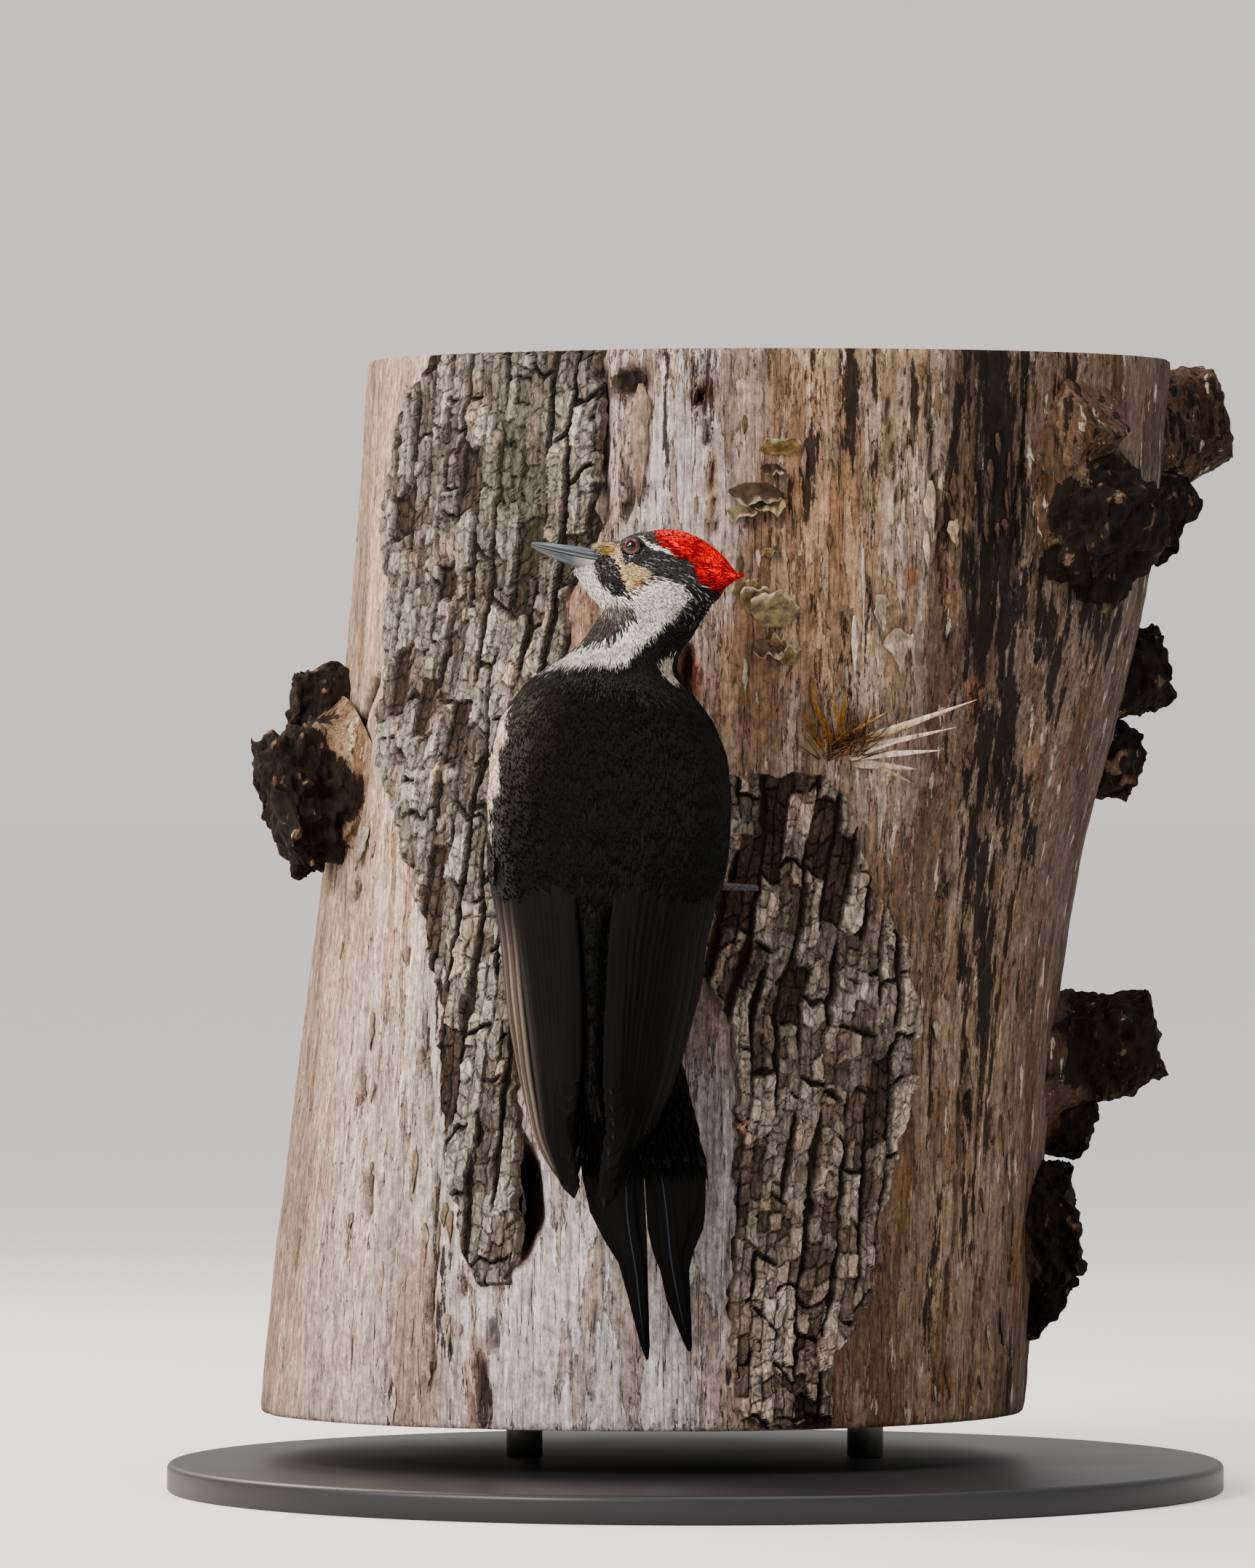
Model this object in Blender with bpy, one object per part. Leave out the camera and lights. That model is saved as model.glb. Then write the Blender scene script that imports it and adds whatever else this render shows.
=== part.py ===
"""Pileated woodpecker clinging to a short length of dead tree, as a still display model.

Metres, +Z up. The origin is the middle of the display base's underside. +X is the bird's right as
it hugs the log, and -Y is the way its back faces. The log leans a little to +X as it rises. The
bird's body follows the log, its tail is braced a little to +X, and its head is turned to its left.
"""

import math

import bmesh
import bpy
from mathutils import Vector

MM = 0.001
GAP = 0.3 * MM  # clearance between touching pieces

# ---------------------------------------------------------------- driving sizes of stand and log
BASE_RADIUS = 0.262
BASE_THICK = 0.014
ROD_RADIUS = 0.009
ROD_SPREAD = 0.085  # of each rod from the middle
ROD_Y = 0.0275
ROD_GRIP = 0.028  # how deep a rod sits in the log
LOG_FOOT_Z = 0.036
LOG_TOP_Z = 0.562
LOG_RADIUS = 0.182  # from front to back
LOG_Y = 0.0575
# Middle and extra half width of the log from side to side, in mm, by height.
LOG_SIDES = ((36, -25.5, 10.5), (100, -20.3, 9.6), (300, 1.4, 8.0), (450, 28.0, 17.5), (562, 39.0, 19.5))
BARK_SUNK = 2 * MM  # how far a bark plate reaches into the wood before it is cut to fit

# ---------------------------------------------------------------- driving sizes of the bird
YAW = math.radians(10)  # the back faces a little to -X, square to the log under it
BACK = Vector((-math.sin(YAW), -math.cos(YAW), 0))
SIDE = Vector((math.cos(YAW), -math.sin(YAW), 0))
UP = Vector((0, 0, 1))
EAST = Vector((1, 0, 0))
NORTH = Vector((0, 1, 0))

HEAD_TURN = math.radians(15)  # how far short of a full right angle the head is turned
HEAD_LIFT = math.radians(10.7)  # how far the bill points above level
HEAD_MID = Vector((-0.0282, -0.1956, 0.4633))  # between the eyes
AHEAD = Vector(
    (
        -math.cos(HEAD_LIFT) * math.cos(HEAD_TURN),
        math.cos(HEAD_LIFT) * math.sin(HEAD_TURN),
        math.sin(HEAD_LIFT),
    )
)
HEAD_LEFT = UP.cross(AHEAD).normalized()
HEAD_UP = AHEAD.cross(HEAD_LEFT).normalized()

# Outline of the bird with its wings folded, in mm: height, middle x, half width, how far its middle
# stands off the log, half depths on the back's and the belly's side, and the wing's thickness.
SHELL = (
    (146.5, -50.0, 12.0, 38, 4.0, 4.0, 1.6),
    (159, -51.6, 18.5, 41, 6.0, 5.0, 2.4),
    (170, -51.0, 26.7, 43, 10.0, 7.0, 2.8),
    (178, -50.4, 30.5, 45, 12.0, 9.0, 3.0),
    (190, -49.7, 34.4, 49, 15.0, 12.0, 3.4),
    (200, -48.6, 38.0, 52, 18.0, 15.0, 3.7),
    (209, -47.6, 41.0, 55, 21.0, 19.0, 4.0),
    (228, -46.8, 44.7, 60, 25.0, 23.0, 4.5),
    (250, -45.5, 49.0, 65, 29.5, 28.0, 5.0),
    (275, -44.9, 51.2, 67, 35.0, 33.0, 5.5),
    (306, -43.5, 58.2, 69, 40.0, 39.0, 6.0),
    (335, -42.6, 60.1, 70, 42.5, 43.0, 6.5),
    (367, -43.0, 57.7, 70, 42.0, 42.0, 6.5),
    (382, -44.2, 51.9, 69, 40.5, 39.0, 5.5),
    (393, -45.0, 44.9, 68, 38.0, 36.5, 4.0),
    (399, -44.4, 38.6, 68, 35.6, 34.6, 2.2),
    (403.8, -42.5, 33.3, 67.5, 33.6, 33.4, 0.8),
)
BODY_FOOT_Z = 200
WING_TOP_Z = 399
BODY_LEVELS = 12  # rings shared by the body and the wings on it

# Where a wing's panel of coverts and secondaries, and its stack of primaries, start and end round
# the shell, in degrees from the middle of the back: height, inner edge, seam, outer edge.
WING = (
    (185, 12, 26, 90),
    (190, 11, 32, 90),
    (209, 9, 46, 96),
    (228, 7, 58, 102),
    (250, 7, 72, 108),
    (275, 8, 86, 112),
    (306, 10, 100, 116),
    (335, 13, 112, 118),
    (367, 17, 112, 118),
    (382, 22, 106, 112),
    (393, 28, 98, 104),
    (399, 36, 88, 94),
)
# Free tips of the primaries below the panels, in mm: height, x at the inner and at the outer edge.
TIP_LEFT = (
    (151, -61.5, -58.0),
    (154, -65.5, -56.0),
    (159, -69.0, -54.7),
    (170, -77.2, -55.2),
    (178, -80.2, -56.8),
)
TIP_RIGHT = (
    (146.5, -45.0, -41.8),
    (151, -47.2, -38.2),
    (159, -47.6, -33.6),
    (170, -47.2, -24.6),
    (178, -46.6, -20.6),
)

# Tail halves, in mm: height, x at the left and right edge, how far the upper face stands off the log
# at the tail's middle, how much lower it is at the side edge, and thickness.
TAIL_LEFT = (
    (71.2, -24.6, -23.4, 4.6, 0.0, 1.4),
    (78.1, -27.3, -22.8, 7.0, 0.2, 1.6),
    (99.9, -32.8, -23.5, 15.0, 0.6, 2.0),
    (118.9, -38.0, -23.9, 22.8, 1.2, 2.6),
    (129.9, -44.9, -24.2, 27.2, 2.2, 3.0),
    (143.7, -51.8, -24.9, 32.5, 3.4, 5.0),
    (160.0, -55.2, -25.8, 40.0, 6.0, 8.5),
    (178.0, -57.5, -28.6, 47.5, 10.0, 13.5),
    (199.6, -60.0, -33.6, 59.0, 17.0, 20.5),
)
TAIL_RIGHT = (
    (75.3, -4.2, -2.9, 5.4, 1.0, 1.4),
    (78.1, -5.9, -2.3, 6.8, 1.0, 1.6),
    (99.9, -14.6, -3.1, 15.0, 1.2, 2.0),
    (115.0, -17.8, -3.9, 21.4, 1.4, 2.5),
    (124.3, -21.4, -1.8, 25.0, 2.0, 2.8),
    (135.4, -23.9, 2.9, 29.0, 2.8, 3.2),
    (143.7, -24.4, 3.9, 32.5, 3.4, 5.0),
    (160.0, -25.3, 4.1, 40.0, 6.0, 8.5),
    (178.0, -28.1, 1.0, 47.5, 10.0, 13.5),
    (199.6, -33.1, -7.4, 59.0, 17.0, 20.5),
)

# Neck, in mm: height, middle x, how far its middle stands off the log, half width and half depth.
NECK = (
    (404.1, -42.3, 67.5, 33.0, 33.4),
    (409.7, -37.9, 69.0, 28.0, 29.5),
    (417.6, -30.0, 71.5, 26.4, 26.0),
    (428.7, -22.8, 75.0, 25.8, 22.5),
    (436.0, -18.6, 77.5, 26.4, 20.8),
    (442.0, -16.5, 79.0, 24.6, 19.4),
    (452.0, -15.0, 80.0, 15.0, 13.0),
)

# Head along its own axis, in mm: distance ahead of the eyes, top, bottom, half width.
HEAD = (
    (31.0, -14.4, -16.2, 1.5),
    (29.0, -13.6, -19.0, 2.9),
    (26.0, -12.4, -22.3, 4.2),
    (23.5, -8.0, -24.8, 5.0),
    (21.0, -4.1, -26.9, 5.9),
    (17.0, -2.8, -29.6, 8.2),
    (13.0, -1.6, -32.4, 10.6),
    (10.4, 1.2, -34.4, 12.0),
    (8.0, 4.0, -35.0, 13.2),
    (4.2, 6.4, -34.0, 14.7),
    (-0.4, 8.4, -32.0, 15.9),
    (-6.0, 9.5, -30.0, 16.8),
    (-13.0, 9.7, -28.6, 17.4),
    (-21.0, 8.2, -28.6, 17.4),
    (-29.0, 5.4, -27.0, 15.6),
    (-36.0, 0.8, -24.0, 12.2),
    (-42.0, -4.4, -19.6, 7.4),
    (-45.0, -9.0, -15.4, 3.2),
)
CREST = (
    (-3.5, 8.0, 5.0, 5.0),
    (-6.0, 10.1, 2.2, 8.6),
    (-10.0, 11.2, -0.6, 11.8),
    (-15.0, 11.9, -2.0, 14.4),
    (-21.0, 11.8, -3.8, 15.8),
    (-28.0, 10.5, -6.2, 15.2),
    (-36.0, 7.2, -11.4, 12.0),
    (-43.0, 3.3, -13.2, 8.4),
    (-47.0, -0.8, -11.4, 5.0),
    (-50.4, -3.0, -7.6, 2.4),
    (-52.4, -3.9, -5.0, 0.8),
)
BILL_TIP = 52.1
# Bill, in mm: distance ahead of the eyes, ridge, mouth line, lower edge, half width.
BILL = (
    (BILL_TIP, -7.3, -8.5, -9.6, 0.9),
    (BILL_TIP - 1.0, -6.7, -8.6, -10.1, 1.3),
    (46.0, -6.2, -9.0, -11.7, 2.4),
    (38.6, -5.7, -9.4, -13.4, 3.5),
    (32.0, -5.2, -9.6, -14.7, 4.4),
    (26.3, -4.9, -9.7, -15.6, 5.1),
    (20.0, -4.8, -9.7, -15.8, 5.6),
    (13.0, -5.0, -9.2, -14.6, 5.6),
)
# Half sections of the bill: share of its height away from the mouth line, and share of its half width.
BILL_UPPER_SECTION = (
    (0, -1), (0, 1), (0.45, 0.94), (0.8, 0.62), (1, 0.14), (1, -0.14), (0.8, -0.62), (0.45, -0.94),
)  # fmt: skip
BILL_LOWER_SECTION = ((0, 0.97), (0, -0.97), (0.5, -0.87), (0.85, -0.53), (1, 0), (0.85, 0.53), (0.5, 0.87))
EYE_RADIUS = 5.0 * MM
EYE_OUT = 9.4 * MM  # from the head's middle plane to an eye's centre

# Feet, in mm: sideways place and height of the ball of the foot, of the ankle and of the knee.
FOOT_RIGHT = {"ball": (2.0, 301), "ankle": (-11.5, 268), "knee": (-24.0, 300)}
FOOT_LEFT = {"ball": (-75.5, 291), "ankle": (-64.0, 258), "knee": (-56.0, 292)}
FOOT_LIFT = 7.4 * MM  # both feet stand on bark
BALL_RADIUS = 3.4 * MM
ANKLE_OFF = 19 * MM
KNEE_OFF = 52 * MM
# Toes: heading in degrees from straight up towards the bird's own side, length and claw length in mm.
# The order is inner, middle, outer, hind.
TOES_RIGHT = ((-22, 19, 10), (26, 26, 12.5), (93, 28, 13), (150, 11, 8))
TOES_LEFT = ((-16, 19, 10), (34, 26, 12.5), (100, 24, 12.5), (150, 11, 8))
CLAW_START = -25  # degrees round a claw's curve at its root
CLAW_SWEEP = 105

# Bark plates, in mm: height, and x at the left and right edge.
BARK_LEFT = (
    (102, -104, -92),
    (108, -109, -88),
    (135, -116, -86),
    (170, -122, -85),
    (204, -125, -86),
    (239, -126, -87),
    (273, -131, -80),
    (308, -140, -62),
    (342, -150, -58),
    (377, -157, -56),
    (411, -151, -54),
    (446, -152, -52),
    (480, -153, -48),
    (529, -146, -46),
    (561, -130, -45),
)
BARK_RIGHT = (
    (36.6, 19, 68),
    (66, 17, 64),
    (101, 16, 86),
    (135, 17, 88),
    (170, 18, 98),
    (204, 18, 108),
    (239, 14, 108),
    (273, -14, 100),
    (308, -22, 84),
    (342, -20, 73),
    (358, -10, 56),
)
BARK_THICK = 7.0 * MM
# Stubs of dead branches, in mm: height, direction round the log in degrees (0 is the bird's side, 90 is +X),
# root and end radius, how far it stands out, rise of its far end.
STUBS = (
    ("left", 352, -78, 46, 29, 36, -12),
    ("upper_right", 495, 58, 40, 27, 30, -4),
    ("top_right", 524, 101, 34, 24, 40, 8),
    ("middle_right", 390, 97, 40, 22, 22, 2),
    ("long_right", 212, 92, 40, 21, 54, 10),
    ("lower_right", 124, 86, 44, 26, 20, -8),
)


def between(rows, at):
    """The rows' other columns at one value of their first column, on a smooth curve through the rows."""
    rows = sorted(rows)
    keys = [r[0] for r in rows]
    at = min(max(at, keys[0]), keys[-1])
    i = min(max(next((k for k, key in enumerate(keys) if key > at), len(keys) - 1) - 1, 0), len(keys) - 2)
    step = keys[i + 1] - keys[i]
    t = (at - keys[i]) / step
    out = []
    for c in range(1, len(rows[0])):

        def slope(k):
            lo, hi = max(k - 1, 0), min(k + 1, len(rows) - 1)
            return (rows[hi][c] - rows[lo][c]) / (keys[hi] - keys[lo])

        a, b = rows[i][c], rows[i + 1][c]
        out.append(
            a * (2 * t**3 - 3 * t**2 + 1)
            + b * (3 * t**2 - 2 * t**3)
            + slope(i) * step * (t**3 - 2 * t**2 + t)
            + slope(i + 1) * step * (t**3 - t**2)
        )
    return out


def steps(first, last, count):
    """Evenly spaced values from first to last, both included."""
    return [first + (last - first) * i / (count - 1) for i in range(count)]


# ---------------------------------------------------------------- the log's surface
def log_middle(z):
    """The log's axis at one height."""
    return Vector((between(LOG_SIDES, z / MM)[0] * MM, LOG_Y, z))


def log_radius(turn, z):
    """Radius of the uneven log in one direction, where 0 faces -Y and a quarter turn faces +X."""
    wide = between(LOG_SIDES, z / MM)[1] * MM * math.sin(turn) ** 2
    return LOG_RADIUS + wide + 1.5 * MM * math.sin(3 * turn + 9 * z) + 0.9 * MM * math.sin(5 * turn - 7 * z)


def on_log(turn, z, off=0.0):
    """A point at a distance off the log's surface."""
    r = log_radius(turn, z) + off
    return log_middle(z) + Vector((r * math.sin(turn), -r * math.cos(turn), 0))


def turn_at(x, z, off=0.0):
    """The direction in which a point off the bird's side of the log has this x."""
    turn = 0.0
    for _ in range(8):
        share = (x - log_middle(z).x) / (log_radius(turn, z) + off)
        turn = math.asin(min(max(share, -0.999), 0.999))
    return turn


def log_front(x, z):
    """The log's y where its bird side has this x and height."""
    return on_log(turn_at(x, z), z).y


# ---------------------------------------------------------------- making meshes
def paint(name, colour, roughness, metallic=0.0):
    """A plain Principled material."""
    made = bpy.data.materials.new(name)
    made.use_nodes = True
    shader = made.node_tree.nodes["Principled BSDF"]
    shader.inputs["Base Color"].default_value = (*colour, 1)
    shader.inputs["Roughness"].default_value = roughness
    shader.inputs["Metallic"].default_value = metallic
    return made


def solid(name, points, faces, material, guide=False):
    """An object from points and faces, its warped quads split so that its cutter copy matches it."""
    mesh = bpy.data.meshes.new(name)
    mesh.from_pydata([tuple(p) for p in points], [], faces)
    shape = bmesh.new()
    shape.from_mesh(mesh)
    bmesh.ops.remove_doubles(shape, verts=shape.verts, dist=1e-6)
    bmesh.ops.triangulate(shape, faces=[f for f in shape.faces if len(f.verts) == 4])
    bmesh.ops.recalc_face_normals(shape, faces=shape.faces)
    shape.to_mesh(mesh)
    shape.free()
    mesh.shade_smooth()
    mesh.set_sharp_from_angle(angle=math.radians(50))
    made = bpy.data.objects.new(name, mesh)
    bpy.context.scene.collection.objects.link(made)
    if material:
        mesh.materials.append(material)
    if guide:
        made.hide_render = True
        made.display_type = "WIRE"
    return made


def loft(name, rings, material, guide=False):
    """A closed solid through rings of equally many points, capped at both ends."""
    count = len(rings[0])
    points = [p for ring in rings for p in ring]
    faces = []
    for r in range(len(rings) - 1):
        a, b = r * count, (r + 1) * count
        for k in range(count):
            n = (k + 1) % count
            faces.append((a + k, a + n, b + n, b + k))
    faces.append(tuple(range(count)))
    faces.append(tuple(range(len(points) - 1, len(points) - 1 - count, -1)))
    return solid(name, points, faces, material, guide)


def ellipse(middle, across, along, half_across, half_along, count):
    """A ring of points round a middle."""
    return [
        middle + across * half_across * math.sin(a) + along * half_along * math.cos(a)
        for a in steps(0, math.tau, count + 1)[:-1]
    ]


def tube(name, path, radii, material, sides=8, guide=False, flat=1.0):
    """A round solid along a path, its rings square to the path; flat narrows it sideways."""
    rings = []
    side = None
    for i, p in enumerate(path):
        ahead = (path[min(i + 1, len(path) - 1)] - path[max(i - 1, 0)]).normalized()
        if side is None:
            side = ahead.cross(BACK if abs(ahead.dot(BACK)) < 0.95 else UP).normalized()
        side = (side - ahead * side.dot(ahead)).normalized()
        rings.append(ellipse(p, side, ahead.cross(side), radii[i] * flat, radii[i], sides))
    return loft(name, rings, material, guide)


def swollen(name, source, by):
    """A hidden copy of a solid, grown by a clearance, for cutting its neighbours."""
    copy = bpy.data.objects.new(name, source.data.copy())
    bpy.context.scene.collection.objects.link(copy)
    normals = [v.normal.copy() for v in copy.data.vertices]
    for v, n in zip(copy.data.vertices, normals):
        v.co += n * by
    copy.hide_render = True
    copy.display_type = "WIRE"
    return copy


def boolean(target, other, operation):
    """Cuts a guide out of a solid, or joins the guide to it."""
    modifier = target.modifiers.new(operation.lower(), "BOOLEAN")
    modifier.operation = operation
    modifier.solver = "EXACT"
    modifier.object = other


# ---------------------------------------------------------------- body, neck and wings
def shell_at(z):
    """Middle, half width, half depths to back and belly, and wing thickness of the shell at one height."""
    x, half, off, back, belly, thick = (v * MM for v in between(SHELL, z / MM))
    return Vector((x, log_front(x, z) - off, z)), half, back, belly, thick


def shell_point(z, angle, inside=0.0):
    """A point on the shell, an angle round from the middle of the back towards +X."""
    middle, half, back, belly, _ = shell_at(z)
    deep = back if math.cos(angle) > 0 else belly
    return middle + SIDE * (half - inside) * math.sin(angle) + BACK * (deep - inside) * math.cos(angle)


def body_levels():
    """Heights at which both the body and the wings on it have a ring."""
    return steps(BODY_FOOT_Z, WING_TOP_Z, BODY_LEVELS)


def edge_slack(z):
    """The angle that leaves a clearance beside a wing's edge at one height."""
    _, _, back, belly, _ = shell_at(z)
    return 2 * GAP / min(back, belly)


def make_body(material):
    """The bird's trunk: flush with the shell on mantle, rump and belly, and let in under the folded wings."""
    rings = []
    wings_end = WING_TOP_Z + GAP / MM
    for level in body_levels() + [wings_end, wings_end + 0.1, SHELL[-1][0]]:
        z = level * MM
        recessed = level <= wings_end
        inner, _, outer = (math.radians(v) for v in between(WING, level))
        slack = edge_slack(z)
        under = shell_at(z)[4] + 4 * GAP if recessed else 0.0
        stops = [(a, 0.0) for a in steps(0, inner - slack, 2)]
        stops += [(a, under) for a in steps(inner - slack, outer + slack, 8)]
        stops += [(a, 0.0) for a in steps(outer + slack, math.pi, 6)]
        right = [shell_point(z, a, inside) for a, inside in stops]
        left = [shell_point(z, -a, inside) for a, inside in stops]
        rings.append(right + left[-2:0:-1])
    return loft("body", rings, material)


def make_neck(material, head_cutter):
    """The neck rises from the collar and is let into the head."""
    rings = []
    for z in steps(NECK[0][0], NECK[-1][0], 7):
        x, off, half, deep = (v * MM for v in between(NECK, z))
        z *= MM
        rings.append(ellipse(Vector((x, log_front(x, z) - off, z)), SIDE, BACK, half, deep, 20))
    made = loft("neck", rings, material)
    boolean(made, head_cutter, "DIFFERENCE")
    return made


def blade_ring(z, low, high, thick, side, count):
    """A crescent slice of a wing between two angles round the shell."""
    outer = [shell_point(z, side * a) for a in steps(low, high, count)]
    inner = [shell_point(z, side * a, thick) for a in steps(high, low, count)]
    return outer + inner


def make_wing(name, tips, side, material):
    """A folded wing: the panel of coverts and secondaries, and the primaries outside and below it."""
    panel, stack = [], []
    for level in [WING[0][0]] + body_levels():
        inner, seam, outer = (math.radians(v) for v in between(WING, level))
        thick = shell_at(level * MM)[4]
        slack = edge_slack(level * MM)
        panel.append(blade_ring(level * MM, inner, seam - slack, thick, side, 6))
        stack.append(blade_ring(level * MM, seam, outer, thick * 0.85, side, 5))
    free = []
    for z, x_a, x_b in tips:
        middle, half, _, _, thick = shell_at(z * MM)
        ends = [math.asin(min(max((x * MM - middle.x) / half, -1), 1)) * side for x in (x_a, x_b)]
        free.append(blade_ring(z * MM, min(ends), max(ends), thick, side, 5))
    loft(f"wing_{name}", panel, material)
    loft(f"primaries_{name}", free + stack, material)


def make_tail(name, rows, side, material):
    """One half of the tail: stiff feathers lapped together, ending in the longest one's point."""
    rings = []
    for z, left, right, off, drop, thick in rows:
        upper, lower = [], []
        near, far = (left, right) if side > 0 else (right, left)
        for t in steps(0, 1, 6):
            x = (near + (far - near) * t) * MM
            y = log_front(x, z * MM) - (off - drop * t**1.5) * MM
            upper.append(Vector((x, y, z * MM)))
            lower.append(Vector((x, y + (1.4 + (thick - 1.4) * (1 - t**3)) * MM, z * MM)))
        rings.append(upper + lower[::-1])
    return loft(f"tail_{name}", rings, material)


# ---------------------------------------------------------------- head
def in_head(ahead, up, left=0.0):
    """A point given in mm along the head's own directions."""
    return HEAD_MID + AHEAD * ahead * MM + HEAD_UP * up * MM + HEAD_LEFT * left * MM


def head_rings(rows, count):
    """Rings square to the head's axis."""
    return [
        ellipse(in_head(s, (top + low) / 2), HEAD_LEFT, HEAD_UP, wide * MM, (top - low) / 2 * MM, count)
        for s, top, low, wide in rows
    ]


def make_bill(material, head_cutter):
    """Both halves of the chisel-tipped bill, let into the face, with the mouth line between them."""
    upper, lower = [], []
    for s, ridge, mouth, under, half in BILL:
        gap = GAP / MM / 2
        rise, fall = ridge - mouth - gap, mouth - under - gap
        upper.append([in_head(s, mouth + gap + rise * up, half * out) for up, out in BILL_UPPER_SECTION])
        lower.append([in_head(s, mouth - gap - fall * down, half * out) for down, out in BILL_LOWER_SECTION])
    for name, rings in (("bill_upper", upper), ("bill_lower", lower)):
        boolean(loft(name, rings, material), head_cutter, "DIFFERENCE")


def ball_shape(name, middle, radius, material):
    """A round solid at a place."""
    shape = bmesh.new()
    bmesh.ops.create_icosphere(shape, subdivisions=2, radius=radius)
    bmesh.ops.translate(shape, verts=shape.verts, vec=middle)
    mesh = bpy.data.meshes.new(name)
    shape.to_mesh(mesh)
    shape.free()
    mesh.shade_smooth()
    mesh.materials.append(material)
    made = bpy.data.objects.new(name, mesh)
    bpy.context.scene.collection.objects.link(made)
    return made


def make_head(plumage, red, horn, eye_wet):
    """Head, crest, bill and eyes, a ball a little out of each socket. Returns the cutter for the neck."""
    head = loft("head", head_rings(HEAD, 18), plumage)
    cutter = swollen("guide_head", head, GAP)
    crest = loft("crest", head_rings(CREST, 14), red)
    boolean(crest, cutter, "DIFFERENCE")
    make_bill(horn, cutter)
    for name, side in (("left", 1), ("right", -1)):
        eye = ball_shape(f"eye_{name}", in_head(0, 0, side * EYE_OUT / MM), EYE_RADIUS, eye_wet)
        boolean(head, swollen(f"guide_socket_{name}", eye, GAP), "DIFFERENCE")
    return cutter


# ---------------------------------------------------------------- legs
def make_thigh(name, ankle, knee, tarsus, feathers, body_cutter):
    """The feathered upper leg, from the ankle up into the belly."""
    path = [ankle.lerp(knee, t) for t in steps(0, 1, 5)]
    radii = [3.2 * MM, 5.0 * MM, 8.0 * MM, 10.5 * MM, 11.5 * MM]
    shank = tube(f"thigh_{name}", path, radii, feathers, sides=12)
    boolean(shank, body_cutter, "DIFFERENCE")
    boolean(shank, swollen(f"guide_tarsus_{name}", tarsus, GAP), "DIFFERENCE")


def make_toe(name, along, length, material):
    """One toe, arched a little over the bark."""
    path, radii = [], []
    for t in steps(0.0, 1.0, 5):
        arch = math.sin(math.pi * min(1.0, t * 1.15)) * 1.6 * MM
        radius = (2.5 - 0.8 * t) * MM
        path.append(along(length * t, FOOT_LIFT + radius + 2 * GAP + arch))
        radii.append(radius)
    return tube(f"guide_{name}", path, radii, material, sides=6, guide=True)


def make_claw(name, along, first, length, material):
    """A claw, curved down to its point on the bark."""
    bend = length / math.radians(CLAW_SWEEP)
    start = math.radians(CLAW_START)
    path, radii = [], []
    for t in steps(0.0, 1.0, 5):
        a = start + math.radians(CLAW_SWEEP) * t
        rise = bend * (math.cos(a) - math.cos(start))
        run = bend * (math.sin(a) - math.sin(start))
        radius = (1.6 * (1 - t) + 0.34 * t) * MM
        off = FOOT_LIFT + max(2.6 * MM + rise, radius + 1.4 * GAP)
        path.append(along(first + run, off))
        radii.append(radius)
    tube(name, path, radii, material, sides=6, flat=0.72)


def make_leg(name, side, foot, toes, skin, feathers, horn, body_cutter):
    """Feathered thigh, bare lower leg, and a foot with two toes up, one out to the side and one back."""
    ball_x, ball_z = (v * MM for v in foot["ball"])
    turn = turn_at(ball_x, ball_z)
    ball = on_log(turn, ball_z, FOOT_LIFT + BALL_RADIUS + 3 * GAP)
    ankle_x, ankle_z = (v * MM for v in foot["ankle"])
    ankle = on_log(turn_at(ankle_x, ankle_z), ankle_z, ANKLE_OFF)
    knee_x, knee_z = (v * MM for v in foot["knee"])
    knee = on_log(turn_at(knee_x, knee_z), knee_z, KNEE_OFF)

    away = (ankle - ball).normalized()
    start = ball + away * (BALL_RADIUS + 2 * GAP)
    stop = ankle - away * 3.2 * MM
    path = [start.lerp(stop, t) for t in steps(0, 1, 4)]
    tarsus = tube(f"tarsus_{name}", path, [2.3 * MM, 2.0 * MM, 2.1 * MM, 2.6 * MM], skin)
    make_thigh(name, ankle, knee, tarsus, feathers, body_cutter)

    pad = ball_shape(f"foot_{name}", ball, BALL_RADIUS, skin)
    for i, (heading, length, claw) in enumerate(toes, 1):
        heading = math.radians(heading)

        def along(distance, off):
            """A point out along the toe, laid round the log."""
            across = side * distance * math.sin(heading) / (LOG_RADIUS + off)
            return on_log(turn + across, ball_z + distance * math.cos(heading), off)

        toe = make_toe(f"toe_{name}_{i}", along, length * MM, skin)
        boolean(pad, toe, "UNION")
        boolean(tarsus, swollen(f"{toe.name}_fit", toe, GAP), "DIFFERENCE")
        make_claw(f"claw_{name}_{i}", along, (length + 2.1) * MM, claw * MM, horn)


# ---------------------------------------------------------------- perch and stand
def make_stub(name, z, heading, root, end, out, rise):
    """The broken stub of a dead branch, lumpy and open-grained at its end, sunk in the log."""
    heading = math.radians(heading)
    z *= MM
    away = Vector((math.sin(heading), -math.cos(heading), 0))
    across = Vector((-away.y, away.x, 0))
    middle = log_middle(z)
    rings = []
    tip = out * MM / LOG_RADIUS
    rows = ((0.55, 1.15), (0.86, 1.0), (1.0, 0.8), (1.0 + 0.55 * tip, 0.62), (1.0 + tip, 0.55))
    for i, (reach, share) in enumerate(rows):
        t = i / (len(rows) - 1)
        size = (root * (1 - t) + end * t) * MM * (share + 0.28 * t)
        at = middle + away * LOG_RADIUS * reach + UP * rise * MM * max(0.0, reach - 1) * 4
        ring = []
        for k, a in enumerate(steps(0, math.tau, 11)[:-1]):
            wobble = 1 + 0.10 * math.sin(2.3 * k + z * 90) * min(1.0, t * 2)
            ragged = away * 2.5 * MM * math.sin(3.7 * k + z * 50) * (1 if i == len(rows) - 1 else 0)
            ring.append(at + (across * 0.9 * math.sin(a) + UP * math.cos(a)) * size * wobble + ragged)
        rings.append(ring)
    return loft(f"guide_stub_{name}", rings, None, guide=True)


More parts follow.
